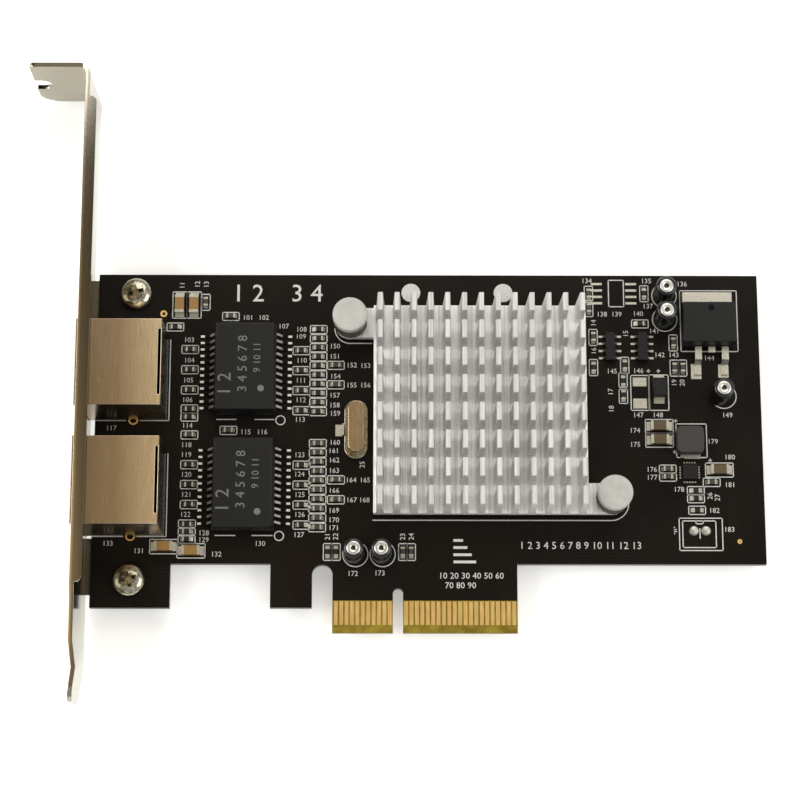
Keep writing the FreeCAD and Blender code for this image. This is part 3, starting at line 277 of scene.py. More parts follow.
def keep(name, work, slot, *finishes, replaced=(), smooth=None):
    """Turns a shape into a piece of the card, with its finishes, smoothed below an angle if one is given."""
    if isinstance(work, bmesh.types.BMesh):
        mesh = bpy.data.meshes.new(name)
        bmesh.ops.recalc_face_normals(work, faces=work.faces)
        work.to_mesh(mesh)
        work.free()
    else:
        mesh = work  # already a mesh, from geometry nodes or a boolean
    made = bpy.data.objects.new(name, mesh)
    for finish in finishes:
        mesh.materials.append(finish)
    bpy.context.scene.collection.objects.link(made)
    if smooth:
        mesh.shade_smooth()
        mesh.set_sharp_from_angle(angle=math.radians(smooth))
        weigh = made.modifiers.new("weigh", "WEIGHTED_NORMAL")
        weigh.keep_sharp = True
        made.data = bpy.data.meshes.new_from_object(made.evaluated_get(bpy.context.evaluated_depsgraph_get()))
        made.modifiers.clear()
    made.data.name = name
    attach(made, "root")
    if replaced:
        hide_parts(*replaced)


def line(work, x1, y1, x2, y2):
    """Adds a printed line along X or Y."""
    half = ink_width / 2
    slab(work, (min(x1, x2) - half, min(y1, y2) - half, board_top),
         (max(x1, x2) + half, max(y1, y2) + half, board_top + ink_depth))


def outline(work, left, bottom, right, top):
    """Adds a printed rectangle."""
    line(work, left, bottom, right, bottom)
    line(work, left, top, right, top)
    line(work, left, bottom, left, top)
    line(work, right, bottom, right, top)


def lathe(work, x, y, profile, sides=32, finish=0, closed=False):
    """Adds a turned shape from pairs of radius and height, in millimetres; a closed one is a ring."""
    rings = []
    for radius, height in profile:
        count = sides if radius else 1
        turns = [math.tau * index / count for index in range(count)]
        rings.append([work.verts.new(Vector((x + radius * math.cos(turn), y + radius * math.sin(turn), height)) * MM)
                      for turn in turns])
    pairs = list(zip(rings, rings[1:])) + ([(rings[-1], rings[0])] if closed else [])
    for low, high in pairs:
        for index in range(sides):
            after = (index + 1) % sides
            corners = [low[index % len(low)], low[after % len(low)],
                       high[after % len(high)], high[index % len(high)]]
            face = work.faces.new(list(dict.fromkeys(corners)))
            face.material_index = finish


def disc(work, x, y, radius, low, high, sides=32, finish=0):
    """Adds a flat round disc between two heights."""
    lathe(work, x, y, [(0, low), (radius, low), (radius, high), (0, high)], sides, finish)


def arc(work, x, y, radius, start=0, end=360):
    """Adds a printed circle, or the part of it between two turns in degrees."""
    steps = 32
    whole = end - start == 360
    inner, outer = radius - ink_width / 2, radius + ink_width / 2
    foot, crown = board_top, board_top + ink_depth
    rows = []
    for step in range(steps if whole else steps + 1):
        turn = math.radians(start + (end - start) * step / steps)
        rows.append([work.verts.new(Vector((x + reach * math.cos(turn), y + reach * math.sin(turn), level)) * MM)
                     for reach, level in ((inner, foot), (outer, foot), (outer, crown), (inner, crown))])
    for before, after in zip(rows, rows[1:] + (rows[:1] if whole else [])):
        for side in range(4):
            work.faces.new((before[side], before[side - 1], after[side - 1], after[side]))
    if not whole:
        work.faces.new(rows[0])
        work.faces.new(rows[-1])


def letters(work, words, x, y, height, turned=False, lift=board_top):
    """Adds printed figures of a height, centred on a place; turned ones read from the right."""
    figure_share = 0.7  # a figure's height as a share of its font's size
    curve = bpy.data.curves.new("figures", "FONT")
    curve.body = words
    curve.size = height * MM / figure_share
    curve.align_x = "CENTER"
    curve.align_y = "CENTER"
    curve.resolution_u = 2
    curve.extrude = ink_depth * MM / 2
    holder = bpy.data.objects.new("figures", curve)
    mesh = bpy.data.meshes.new_from_object(holder)
    turn = Matrix.Rotation(math.pi / 2 if turned else 0, 4, "Z")
    mesh.transform(Matrix.Translation(Vector((x, y, lift + ink_depth / 2)) * MM) @ turn)
    work.from_mesh(mesh)
    bpy.data.objects.remove(holder)
    bpy.data.meshes.remove(mesh)
    bpy.data.curves.remove(curve)


# The frames: one round each chip, one for each larger part, and the jacks' lines, which stop at their rings.
frames = bmesh.new()
for node, long_margin, short_margin in (
    ("chip_resistors", 0.78, 0.38), ("chip_capacitors", 0.78, 0.38), ("large_capacitor_bodies", 1.4, 0.5),
):
    for low, high in islands(node):
        lies = high.x - low.x > high.y - low.y
        margin_x, margin_y = (long_margin, short_margin) if lies else (short_margin, long_margin)
        outline(frames, low.x - margin_x, low.y - margin_y, high.x + margin_x, high.y + margin_y)
for left, bottom, right, top in (
    (53.72, 53.73, 64.56, 65.72), (52.35, 33.15, 58.07, 39.62), (47.49, 42.24, 51.12, 49.13),
    (44.01, 42.24, 47.41, 49.03), (40.14, 62.53, 43.01, 67.77), (52.47, 15.46, 60.51, 21.57),
    (53.10, 16.02, 59.30, 21.05),
):
    outline(frames, left, bottom, right, top)
for x1, y1, x2, y2 in (
    (-43.2, 40.1, -43.2, 55.8), (-57.0, 40.1, -51.3, 40.1), (-48.6, 40.1, -43.2, 40.1),
    (-43.2, 17.96, -43.2, 33.7), (-57.0, 17.96, -51.3, 17.96), (-48.6, 17.96, -43.2, 17.96),
    (-34.14, 40.34, -30.57, 40.34), (-26.99, 40.34, -23.41, 40.34), (-34.1, 18.17, -30.4, 18.17),
    (-27.2, 18.17, -23.5, 18.17), (-4.7, 21.1, 39.8, 21.1), (-9.7, 55.2, -5.0, 55.2), (56.3, 17.8, 56.3, 19.6),
    (55.6, 20.5, 55.6, 21.05), (55.6, 20.5, 56.95, 20.5), (56.95, 20.5, 56.95, 21.05),
):
    line(frames, x1, y1, x2, y2)
for x, y in ((-22.18, 40.20), (-22.18, 18.10)):
    arc(frames, x, y, 0.86)
for x, y in ((-7.94, 14.67), (-2.86, 14.67), (50.74, 64.69), (50.75, 60.03), (61.55, 44.98)):
    arc(frames, x, y, 2.35)
for x, y, radius, start in ((39.8, 24.45, 3.35, 270), (-9.1, 58.15, 2.95, 180)):
    arc(frames, x, y, radius, start, start + 90)
plus_arm = 0.25
for x, y in ((52.3, 40.2), (52.0, 34.2), (58.6, 32.6), (47.4, 49.9), (49.3, 49.9)):
    line(frames, x - plus_arm, y, x + plus_arm, y)
    line(frames, x, y - plus_arm, x, y + plus_arm)
for step in range(4):
    x, y = 51.55, 18.6 + step * 0.4
    line(frames, x, y, x + 0.35 * (1.5 - abs(step - 1.5)), y)
keep("printed_frames", frames, "pin_plastic", ink)

# The figures: a plain number beside each part, counted along the board, and rows of numbers, bars and two
# discs in the free places.
figures = bmesh.new()
level_places = (
    (-28.6, 60.2), (-25.6, 60.2), (-39.7, 55.8), (-39.6, 51.8), (-39.7, 47.9), (-39.8, 44.1), (-21.8, 58.5),
    (-18.4, 57.9), (-18.5, 56.5), (-18.3, 51.8), (-18.4, 47.9), (-18.4, 44.1), (-18.5, 40.3), (-39.7, 39.1),
    (-28.7, 37.9), (-25.6, 37.9), (-54.0, 38.6), (-39.8, 35.4), (-39.8, 33.5), (-39.7, 29.7), (-39.6, 25.9),
    (-39.7, 22.1), (-18.5, 33.5), (-18.5, 29.8), (-18.4, 25.9), (-18.4, 22.1), (-18.5, 18.3), (-36.2, 18.6),
    (-36.2, 17.3), (-25.7, 16.6), (-48.2, 15.2), (-33.8, 14.6), (-54.0, 16.6), (36.0, 67.6), (47.4, 67.6),
    (54.2, 67.0), (47.6, 62.6), (38.8, 61.0), (41.6, 61.0), (45.7, 61.1), (48.7, 57.7), (49.6, 53.0),
    (52.3, 53.0), (59.0, 52.4), (40.5, 49.8), (45.5, 49.9), (45.3, 41.3), (49.0, 41.3), (62.1, 41.3),
    (-12.0, 54.6), (-12.0, 52.6), (-8.8, 50.9), (-6.2, 50.8), (-11.9, 48.7), (-8.8, 47.0), (-6.2, 47.0),
    (-12.0, 45.0), (-12.0, 43.1), (-11.9, 41.5), (-11.9, 35.9), (-12.1, 34.3), (-12.0, 32.5), (-12.0, 30.5),
    (-8.8, 28.7), (-6.2, 28.7), (-12.0, 26.7), (-8.7, 24.9), (-6.3, 24.9), (-12.0, 22.9), (-12.0, 21.1),
    (-12.0, 19.6), (-8.4, 11.0), (-3.4, 11.1), (44.6, 38.3), (44.6, 35.6), (47.6, 30.8), (47.6, 29.3),
    (52.6, 27.0), (59.2, 36.2), (62.3, 33.2), (62.2, 27.9), (59.1, 23.0), (61.8, 19.4),
)
turned_places = (
    (-41.2, 66.6), (-38.3, 66.8), (-36.6, 66.8), (37.2, 59.3), (43.3, 57.2), (37.2, 53.8), (40.2, 45.8),
    (40.3, 42.5), (52.3, 47.6), (53.8, 47.6), (-13.1, 18.0), (-11.6, 18.0), (0.9, 18.0), (2.5, 18.0),
    (-6.7, 31.7), (58.4, 25.8), (59.8, 25.5),
)
small_figure = 0.95
for number, (x, y) in enumerate(level_places, start=101):
    letters(figures, str(number), x, y, small_figure)
for number, (x, y) in enumerate(turned_places, start=11):
    letters(figures, str(number), x, y, small_figure, turned=True)
for words, x, y, height in (
    ("1 2 3 4 5 6 7 8 9 10 11 12 13", 34.0, 16.3, 1.35), ("10 20 30 40 50 60", 13.6, 10.6, 1.15),
    ("70 80 90", 11.6, 8.8, 1.15), ("1 2", -28.6, 64.9, 3.4), ("3 4", -17.4, 64.9, 3.4),
):
    letters(figures, words, x, y, height)
for step in range(4):
    y = 13.0 + step * 1.35
    slab(figures, (10.3, y, board_top), (14.5 - step * 0.8, y + 0.5, board_top + ink_depth))
for x in (2.4, 20.0):
    disc(figures, x, 65.2, 1.8, board_top, board_top + ink_depth)
keep("printed_figures", figures, "pin_plastic", ink)


# The plated holes, rings and bare lands: copper etched with the tracks. The small ones are flash gold, and the
# lands left without a part have a skin of levelled solder.
# Gold over nickel is bright and warm, with fine lines along its length. Matt tin is paler and softly clouded,
# and each drilled hole is capped with a black disc of painted shade for its depth.
gold = grained("hard gold plate", "#e0b870", "#f2d28e", (0.3, 3.0, 0.3), 0.42, 1.0, uneven=0.05, relief=0.004)
tin = grained("matt tin plate", "#bfbdb2", "#d2d0c4", (0.5, 0.5, 0.5), 0.38, 1.0, uneven=0.06, relief=0.006)
painted_hollow_dark = grained("painted dark for hollows", "#030303", "#060606", (0.2, 0.2, 0.2), 0.9, ior=1.3)
plating = 0.035
solder_skin = 0.03


def repeat(name, points, finish, grow, **sizes):
    """Makes a shape once in geometry nodes and sets it at every point, as one plain mesh. 'grow' adds the
    shape's nodes; the sizes are the tree's named inputs, in millimetres."""
    tree = bpy.data.node_groups.new(name, "GeometryNodeTree")
    tree.interface.new_socket("Points", in_out="INPUT", socket_type="NodeSocketGeometry")
    for key in sizes:
        tree.interface.new_socket(key, in_out="INPUT", socket_type="NodeSocketFloat")
    tree.interface.new_socket("Shapes", in_out="OUTPUT", socket_type="NodeSocketGeometry")
    given = add(tree, "NodeGroupInput").outputs
    shape = grow(tree, given)
    placed = add(tree, "GeometryNodeInstanceOnPoints", {"Points": given["Points"], "Instance": shape})
    real = add(tree, "GeometryNodeRealizeInstances", {"Geometry": placed.outputs["Instances"]})
    painted = add(tree, "GeometryNodeSetMaterial", {"Geometry": real.outputs["Geometry"], "Material": finish})
    add(tree, "NodeGroupOutput", {"Shapes": painted.outputs["Geometry"]})
    seeds = bpy.data.meshes.new(name + "_points")
    seeds.from_pydata([Vector(point) * MM for point in points], [], [])
    holder = bpy.data.objects.new(name + "_points", seeds)
    bpy.context.scene.collection.objects.link(holder)
    live = holder.modifiers.new("repeat", "NODES")
    live.node_group = tree
    for item in tree.interface.items_tree:
        if item.in_out == "INPUT" and item.name in sizes:
            live[item.identifier] = sizes[item.name] * MM
    mesh = bpy.data.meshes.new_from_object(holder.evaluated_get(bpy.context.evaluated_depsgraph_get()))
    bpy.data.objects.remove(holder)
    return mesh


def grow_cone(tree, given):
    """A low cone or disc standing on its point."""
    return add(tree, "GeometryNodeMeshCone", {
        "Vertices": 14, "Radius Top": given["Top radius"], "Radius Bottom": given["Foot radius"],
        "Depth": given["Height"]}).outputs["Mesh"]


rings = bmesh.new()
top = board_top + plating
for x, y, radius, hole in (
    (-49.89, 40.2, 0.95, 0.62), (-49.88, 18.05, 0.95, 0.66),
    (-44.64, 60.97, 0.66, 0.3), (63.67, 17.17, 0.45, 0.12),
):
    lathe(rings, x, y, [(hole, board_top), (radius, board_top), (radius, top), (hole, top)], closed=True)
    # A black disc over each hole: painted shade inside the drilled hole.
    disc(rings, x, y, hole, board_top, board_top + 0.01, finish=1)
keep("plated_rings", rings, "gold_plate", gold, painted_hollow_dark)

# Two rows of four lands for a small chip, single lands, two domes of solder, and the solder beyond each end
# of the large chip capacitors.
lands = bmesh.new()
row_pitch, row_length, row_half = 1.27, 2.1, 0.22
for x in (36.8, 43.35):
    for step in range(4):
        y = 63.2 + row_pitch * step
        slab(lands, (x, y - row_half, board_top), (x + row_length, y + row_half, top))
for x, y, length, width in ((45.7, 47.75, 2.6, 1.7), (45.7, 43.55, 2.6, 1.9), (56.46, 49.8, 1.97, 2.93),
                            (61.62, 49.9, 1.96, 2.54), (55.3, 33.35, 3.0, 0.9)):
    slab(lands, (x - length / 2, y - width / 2, board_top), (x + length / 2, y + width / 2, top + solder_skin))
for x, y in ((55.19, 19.20), (57.47, 19.20)):
    lathe(lands, x, y, [(0, board_top), (0.95, board_top), (0.75, board_top + 0.3), (0, board_top + 0.42)], sides=24)
end_offset, end_half, end_rise = 2.05, (0.35, 0.85), 0.12
for low, high in islands("large_capacitor_bodies"):
    middle = (low + high) / 2
    lies = high.x - low.x > high.y - low.y
    half_x, half_y = end_half if lies else reversed(end_half)
    for shift in (-end_offset, end_offset):
        x, y = middle.x + (shift if lies else 0), middle.y + (0 if lies else shift)
        slab(lands, (x - half_x, y - half_y, board_top), (x + half_x, y + half_y, board_top + end_rise))
keep("bare_lands", lands, "tin_plate", tin)


# The edge contacts: copper pads plated with nickel and hard gold, bright and warm, with fine wear lines along
# the way the card slides into its slot.
dress(gold, "edge_contacts")


# The bracket: 0.86 mm steel strip, blanked and folded, then plated with bright nickel. Rolling leaves fine
# lines along the strip, and blanking a slightly rounded edge that catches the light. The lip that is folded
# over it faces up, and its colour holds painted light: painted shade along its outer edge, a painted highlight
# along its bend, and a painted dark reflection on its flat.
nickel = grained("bright nickel on rolled steel", "#9a9482", "#b2ad9d", (0.25, 0.6, 0.25), 0.12, 1.0,
                 uneven=0.04, relief=0.003)
tree = nickel.node_tree
shader = tree.nodes["Principled BSDF"]
plated = shader.inputs["Base Color"].links[0].from_socket
lip_outside, lip_edge = -59.6 * MM, -56.8 * MM
facing = add(tree, "ShaderNodeNewGeometry").outputs["True Normal"]
upward = add(tree, "ShaderNodeSeparateXYZ", {"Vector": facing}).outputs["Z"]
upper = add(tree, "ShaderNodeMath", {0: upward, 1: 0.9}, operation="GREATER_THAN")
spot = add(tree, "ShaderNodeTexCoord").outputs["Object"]
reach = add(tree, "ShaderNodeSeparateXYZ", {"Vector": spot}).outputs["X"]
across = add(tree, "ShaderNodeMapRange", {"Value": reach, "From Min": lip_outside, "From Max": lip_edge})
# Painted light on the lip: a painted shade line, a painted highlight on the bend, a painted dark reflection beyond.
painted_bend_light = add(tree, "ShaderNodeValToRGB", {"Fac": across.outputs["Result"]},
           stops=[(0.0, "#57513f"), (0.03, "#f0e6d0"), (0.3, "#e8dcc4"), (0.42, "#a09b90"), (1.0, "#7d7a70")])
lip_painted_light = add(tree, "ShaderNodeMix", {"Factor": upper.outputs[0], "A": plated, "B": painted_bend_light.outputs["Color"]},
           data_type="RGBA")
feed(shader, {"Base Color": lip_painted_light.outputs["Result"]})


def rounded(node, width, segments=2, only=None):
    """A copy of a node's solid with its sharp edges rounded, to stand in its place."""
    work = bmesh.new()
    work.from_mesh(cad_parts[node].data)
    bmesh.ops.remove_doubles(work, verts=work.verts, dist=0.001 * MM)
    bmesh.ops.dissolve_limit(work, angle_limit=math.radians(0.5), verts=work.verts, edges=work.edges)
    sharp = [edge for edge in work.edges if len(edge.link_faces) == 2
             and edge.calc_face_angle(0) > math.radians(30) and (only is None or only(edge))]
    bmesh.ops.bevel(work, geom=sharp, offset=width * MM, segments=segments, profile=0.5, affect="EDGES",
                    clamp_overlap=True)
    return work


keep("folded_bracket", rounded("bracket", 0.12), "nickel_sheet", nickel, replaced=("bracket",), smooth=40)


# The screws: steel, cold headed and nickel plated, with a cross recess. They hold the board to the bracket's
# two folded ears.
# Heading hammers the steel slightly, so the gloss of the plate breaks up over it.
screw_nickel = grained("nickel on cold-headed steel", "#857d6b", "#c8c2b0", (0.5, 0.5, 0.5), 0.16, 1.0,
                       uneven=0.08, relief=0.02)
shank = 1.42
blade_reach, blade_half, recess_depth = 1.9, 0.42, 1.5
foot_reach, foot_half = 0.35, 0.7  # the blade's size at the bottom of the recess, as shares of the size on top
heads, cross = bmesh.new(), bmesh.new()
for low, high in islands("bracket_screws"):
    x, y = (low.x + high.x) / 2, (low.y + high.y) / 2
    radius = (high.x - low.x) / 2
    seat, crown, foot = board_top, high.z, low.z
    lathe(heads, x, y, [
        (0, foot), (shank, foot), (shank, seat), (radius, seat), (radius, seat + 0.7), (radius * 0.96, seat + 1.15),
        (radius * 0.84, seat + 1.6), (radius * 0.62, seat + 1.92), (radius * 0.35, crown - 0.02), (0, crown),
    ], sides=48)
    centre = Vector((x, y, 0)) * MM
    for turn in (0.3, 0.3 + math.pi / 2):
        before = set(cross.verts)
        slab(cross, (x - blade_reach, y - blade_half, crown - recess_depth),
             (x + blade_reach, y + blade_half, crown + 0.5))
        blade = list(set(cross.verts) - before)
        for vertex in blade:
            if vertex.co.z < crown * MM:
                vertex.co.x = centre.x + (vertex.co.x - centre.x) * foot_reach
                vertex.co.y = centre.y + (vertex.co.y - centre.y) * foot_half
        bmesh.ops.rotate(cross, verts=blade, cent=centre, matrix=Matrix.Rotation(turn, 3, "Z"))
solids = []
for name, work in (("cross_tool", cross), ("screw_blanks", heads)):
    mesh = bpy.data.meshes.new(name)
    bmesh.ops.recalc_face_normals(work, faces=work.faces)
    work.to_mesh(mesh)
    work.free()
    solids.append(bpy.data.objects.new(name, mesh))
    bpy.context.scene.collection.objects.link(solids[-1])
tool, blank = solids
cut = blank.modifiers.new("recess", "BOOLEAN")
cut.operation = "DIFFERENCE"
cut.object = tool
cut.use_self = True
recessed = bpy.data.meshes.new_from_object(blank.evaluated_get(bpy.context.evaluated_depsgraph_get()))
bpy.data.objects.remove(blank)
bpy.data.objects.remove(tool)
keep("cross_recess_screws", recessed, "nickel_screw", screw_nickel, replaced=("bracket_screws",), smooth=38)


# The jacks: each has a shell folded from tinned bronze strip, brushed along the card, round a black moulded
# insert with gilt spring contacts and clear light windows. The brushing draws fine lines that stretch its gloss.
# The shell's colour holds painted light along the card: a painted reflection that brightens from the bracket
# towards the rear, a painted highlight at the rear edge and painted shade on the rear wall.
bronze, tree, shader = surface("brushed tinned bronze", 0.24, 1.0)
spot = add(tree, "ShaderNodeTexCoord").outputs["Object"]
brush_lines_per_mm = (7, 0.25, 7)
brushed = add(tree, "ShaderNodeMapping", {"Vector": spot, "Scale": [count / MM for count in brush_lines_per_mm]})
grain = add(tree, "ShaderNodeTexNoise", {"Vector": brushed.outputs["Vector"], "Scale": 1.0, "Detail": 4.0})
reach = add(tree, "ShaderNodeSeparateXYZ", {"Vector": spot}).outputs["X"]
jack_low, jack_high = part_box("jack_shield_upper")
shade = add(tree, "ShaderNodeMapRange", {"Value": reach, "From Min": jack_low[0], "From Max": jack_high[0]})
# Painted light by X: a painted reflection brightening to the rear, a painted highlight, painted shade on the rear
# wall.
painted_shell_light = add(tree, "ShaderNodeValToRGB", {"Fac": shade.outputs["Result"]},
           stops=[(0.0, "#a99880"), (0.5, "#bfab90"), (0.985, "#fdeccc"), (0.996, "#6a5f4e")])
streak = add(tree, "ShaderNodeValToRGB", {"Fac": grain.outputs["Fac"]}, stops=[(0.3, "#f0f0f0"), (0.7, "#ffffff")])
bronze_tone = add(tree, "ShaderNodeMix", {"Factor": 1.0, "A": painted_shell_light.outputs["Color"], "B": streak.outputs["Color"]},
                  data_type="RGBA", blend_type="MULTIPLY")
uneven = add(tree, "ShaderNodeMapRange", {"Value": grain.outputs["Fac"], "To Min": 0.2, "To Max": 0.3})
lined = add(tree, "ShaderNodeBump", {"Height": grain.outputs["Fac"], "Distance": 0.001 * MM, "Strength": 1.0})
feed(shader, {"Base Color": bronze_tone.outputs["Result"], "Roughness": uneven.outputs["Result"],
              "Normal": lined.outputs["Normal"]})
# The nylon has a fine even grain and little gloss. The windows are smooth and look milky against it.
black_nylon = grained("black moulded nylon", "#101010", "#1a1a1a", (0.2, 0.2, 0.2), 0.5, relief=0.01)
window = grained("clear moulded window", "#c4cabe", "#d8dcd2", (1.2, 1.2, 1.2), 0.12, ior=1.49)
for name in ("upper", "lower"):
    keep(f"folded_shield_{name}", rounded(f"jack_shield_{name}", 0.1), "tinned_shield", bronze,
         replaced=(f"jack_shield_{name}",), smooth=40)
    dress(black_nylon, f"jack_housing_{name}")
    dress(gold, f"jack_contacts_{name}")
dress(window, "jack_lights")


# The transformers: coils potted in a filled epoxy moulding, charcoal with the satin of a spark-eroded mould
# and printed figures in grey. Their leads are tinned copper, bright on the shoulder and on the soldered foot.
# The slope between, where they turn away from the light, is darkened by painted shade, set by distance from
# the body's middle.
epoxy = grained("moulded filled epoxy", "#070808", "#0c0d0d", (0.2, 0.2, 0.2), 0.45, ior=1.4, relief=0.01)
# The filler keeps the body nearly black with a soft sheen, and the ink sits on it dull and grey.
grey_ink = grained("grey pad-printed ink", "#5c5e5c", "#727472", (0.25, 0.25, 0.25), 0.6)
lead_tin, tree, shader = surface("tinned copper lead", 0.5, 1.0)
spot = add(tree, "ShaderNodeTexCoord").outputs["Object"]
reach = add(tree, "ShaderNodeSeparateXYZ", {"Vector": spot}).outputs["X"]
middle_x = (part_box("transformer_body_upper")[0][0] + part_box("transformer_body_upper")[1][0]) / 2
offset = add(tree, "ShaderNodeMath", {0: reach, 1: middle_x}, operation="SUBTRACT")
distance = add(tree, "ShaderNodeMath", {0: offset.outputs[0]}, operation="ABSOLUTE")
span = add(tree, "ShaderNodeMapRange", {"Value": distance.outputs[0], "From Max": 10 * MM})
# Painted shade on the slope of each lead, set by distance from the body's middle; the tin stays bright either side.
painted_bend_light = add(tree, "ShaderNodeValToRGB", {"Fac": span.outputs["Result"]},
           stops=[(0.675, "#fafaf6"), (0.70, "#1c1b19"), (0.785, "#1c1b19"), (0.80, "#ecece6")])
feed(shader, {"Base Color": painted_bend_light.outputs["Color"]})
dress(lead_tin, "transformer_leads_upper", "transformer_leads_lower")
for name, dot_x, dot_y in (("upper", -25.7, 45.1), ("lower", -26.0, 21.7)):
    node = f"transformer_body_{name}"
    low, high = [Vector(corner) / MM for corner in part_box(node)]
    keep(f"potted_body_{name}", rounded(node, 0.25, 3), "moulding_compound", epoxy, replaced=(node,), smooth=40)
    marks = bmesh.new()
    middle = (low + high) / 2
    for words, shift_x, shift_y, size in (
        ("1 2", -3.6, -3.6, 2.5), ("3 4 5 6 7 8", -0.3, 0.4, 1.75), ("9 10 11", 2.4, 1.6, 1.35),
    ):
        letters(marks, words, middle.x + shift_x, middle.y + shift_y, size, turned=True, lift=high.z)
    disc(marks, dot_x, dot_y, 0.62, high.z, high.z + ink_depth)
    keep(f"body_figures_{name}", marks, "moulding_compound", grey_ink)


# The controller, its pad and the heat sink: an extruded aluminium block, sawn across into pins and etched to
# a pale satin. Die lines run along the extrusion, on the walls and between the pins.
# The silicone pad is dull. On the sink, the tops of the pins are a little darker than the floor between them.
soft_pad = grained("grey silicone pad", "#70757a", "#7c8186", (0.5, 0.5, 0.5), 0.7)
etched, tree, shader = surface("etched extruded aluminium", 0.62, 0.85)
spot = add(tree, "ShaderNodeTexCoord").outputs["Object"]
die_lines_per_mm = (2.2, 0.045, 2.2)
drawn = add(tree, "ShaderNodeMapping", {"Vector": spot, "Scale": [count / MM for count in die_lines_per_mm]})
lines = add(tree, "ShaderNodeTexNoise", {"Vector": drawn.outputs["Vector"], "Scale": 1.0, "Detail": 5.0})
satin = add(tree, "ShaderNodeValToRGB", {"Fac": lines.outputs["Fac"]}, stops=[(0.35, "#dddcd9"), (0.6, "#fdfdfc")])
lined = add(tree, "ShaderNodeBump", {"Height": lines.outputs["Fac"], "Distance": 0.09 * MM, "Strength": 1.0})
level = add(tree, "ShaderNodeSeparateXYZ", {"Vector": spot}).outputs["Z"]
between_pins, on_pins = 5 * MM, 11 * MM
rise = add(tree, "ShaderNodeMapRange", {"Value": level, "From Min": between_pins, "From Max": on_pins})
darker_pin_tops = add(tree, "ShaderNodeValToRGB", {"Fac": rise.outputs["Result"]}, stops=[(0.0, "#ffffff"), (1.0, "#e4e4e3")])
aluminium = add(tree, "ShaderNodeMix", {"Factor": 1.0, "A": satin.outputs["Color"], "B": darker_pin_tops.outputs["Color"]},
                data_type="RGBA", blend_type="MULTIPLY")
feed(shader, {"Base Color": aluminium.outputs["Result"], "Normal": lined.outputs["Normal"]})
dress(epoxy, "controller_chip")
dress(soft_pad, "thermal_pad")
keep("pin_fin_sink", rounded("heat_sink", 0.08, 1), "bare_aluminium", etched, replaced=("heat_sink",))


# The push pins and their springs: pale nylon pins, each with a flat round head, hold the heat sink down on
# two coil springs of hard steel wire.
# Pale nylon looks milky, with soft flow marks and a satin gloss. The wire is darker and glints.
nylon = grained("pale moulded nylon", "#b0afaa", "#bcbbb6", (1.6, 1.6, 1.6), 0.42, ior=1.53, relief=0.02)
spring_steel = grained("bright spring steel", "#4a4945", "#6a6963", (0.3, 0.3, 0.3), 0.2, 1.0)
head_thickness, shaft, coil_height, wire_radius = 1.7, 1.45, 4.0, 0.28
coil_drop = 0.25  # the middle of the last turn's wire lies this far under the head
pins = bmesh.new()
spring_places = []
for low, high in islands("push_pins"):
    x, y = (low.x + high.x) / 2, (low.y + high.y) / 2
    radius = (high.x - low.x) / 2
    head = high.z - head_thickness
    lathe(pins, x, y, [
        (0, low.z), (0.5, low.z + 0.4), (1.35, -board_top - 0.4), (shaft, -board_top), (shaft, head),
        (radius - 0.12, head), (radius, head + 0.12), (radius, high.z - 0.3), (radius - 0.1, high.z - 0.08),
        (radius - 0.3, high.z), (radius * 0.62, high.z), (radius * 0.58, high.z - 0.06), (0, high.z - 0.06),
    ], sides=48)
    spring_places.append((x, y, head - coil_drop - coil_height))
keep("nylon_push_pins", pins, "pin_plastic", nylon, replaced=("push_pins",), smooth=40)


def grow_coil(tree, given):
    """A coil of round wire standing on its point."""
    spiral = add(tree, "GeometryNodeCurveSpiral", {
        "Resolution": 20, "Rotations": 4.0, "Start Radius": given["Coil radius"], "End Radius": given["Coil radius"],
        "Height": given["Height"]})
    wire = add(tree, "GeometryNodeCurvePrimitiveCircle", {"Resolution": 8, "Radius": given["Wire radius"]})
    return add(tree, "GeometryNodeCurveToMesh", {
        "Curve": spiral.outputs["Curve"], "Profile Curve": wire.outputs["Curve"], "Fill Caps": True}).outputs["Mesh"]


springs = repeat("pin_springs", spring_places, spring_steel, grow_coil,
                 **{"Coil radius": 2.9, "Height": coil_height, "Wire radius": wire_radius})
keep("pin_springs", springs, "nickel_screw", smooth=60)


# The crystal: a can drawn from nickel-plated steel and resistance-welded to its flanged base, earthed by a
# soldered strap.
# Drawing leaves fine lines under the plate, which make its gloss satin and warm.
drawn_nickel = grained("satin nickel on drawn steel", "#b4a48c", "#c2b29a", (0.3, 2.0, 0.3), 0.2, 1.0,
                       uneven=0.05, relief=0.004)
keep("drawn_crystal_can", rounded("crystal_can", 0.15, 3), "crystal_metal", drawn_nickel,
     replaced=("crystal_can",), smooth=50)
keep("pressed_crystal_base", rounded("crystal_base", 0.2, 3), "crystal_metal", screw_nickel,
     replaced=("crystal_base",), smooth=50)
dress(tin, "crystal_strap")


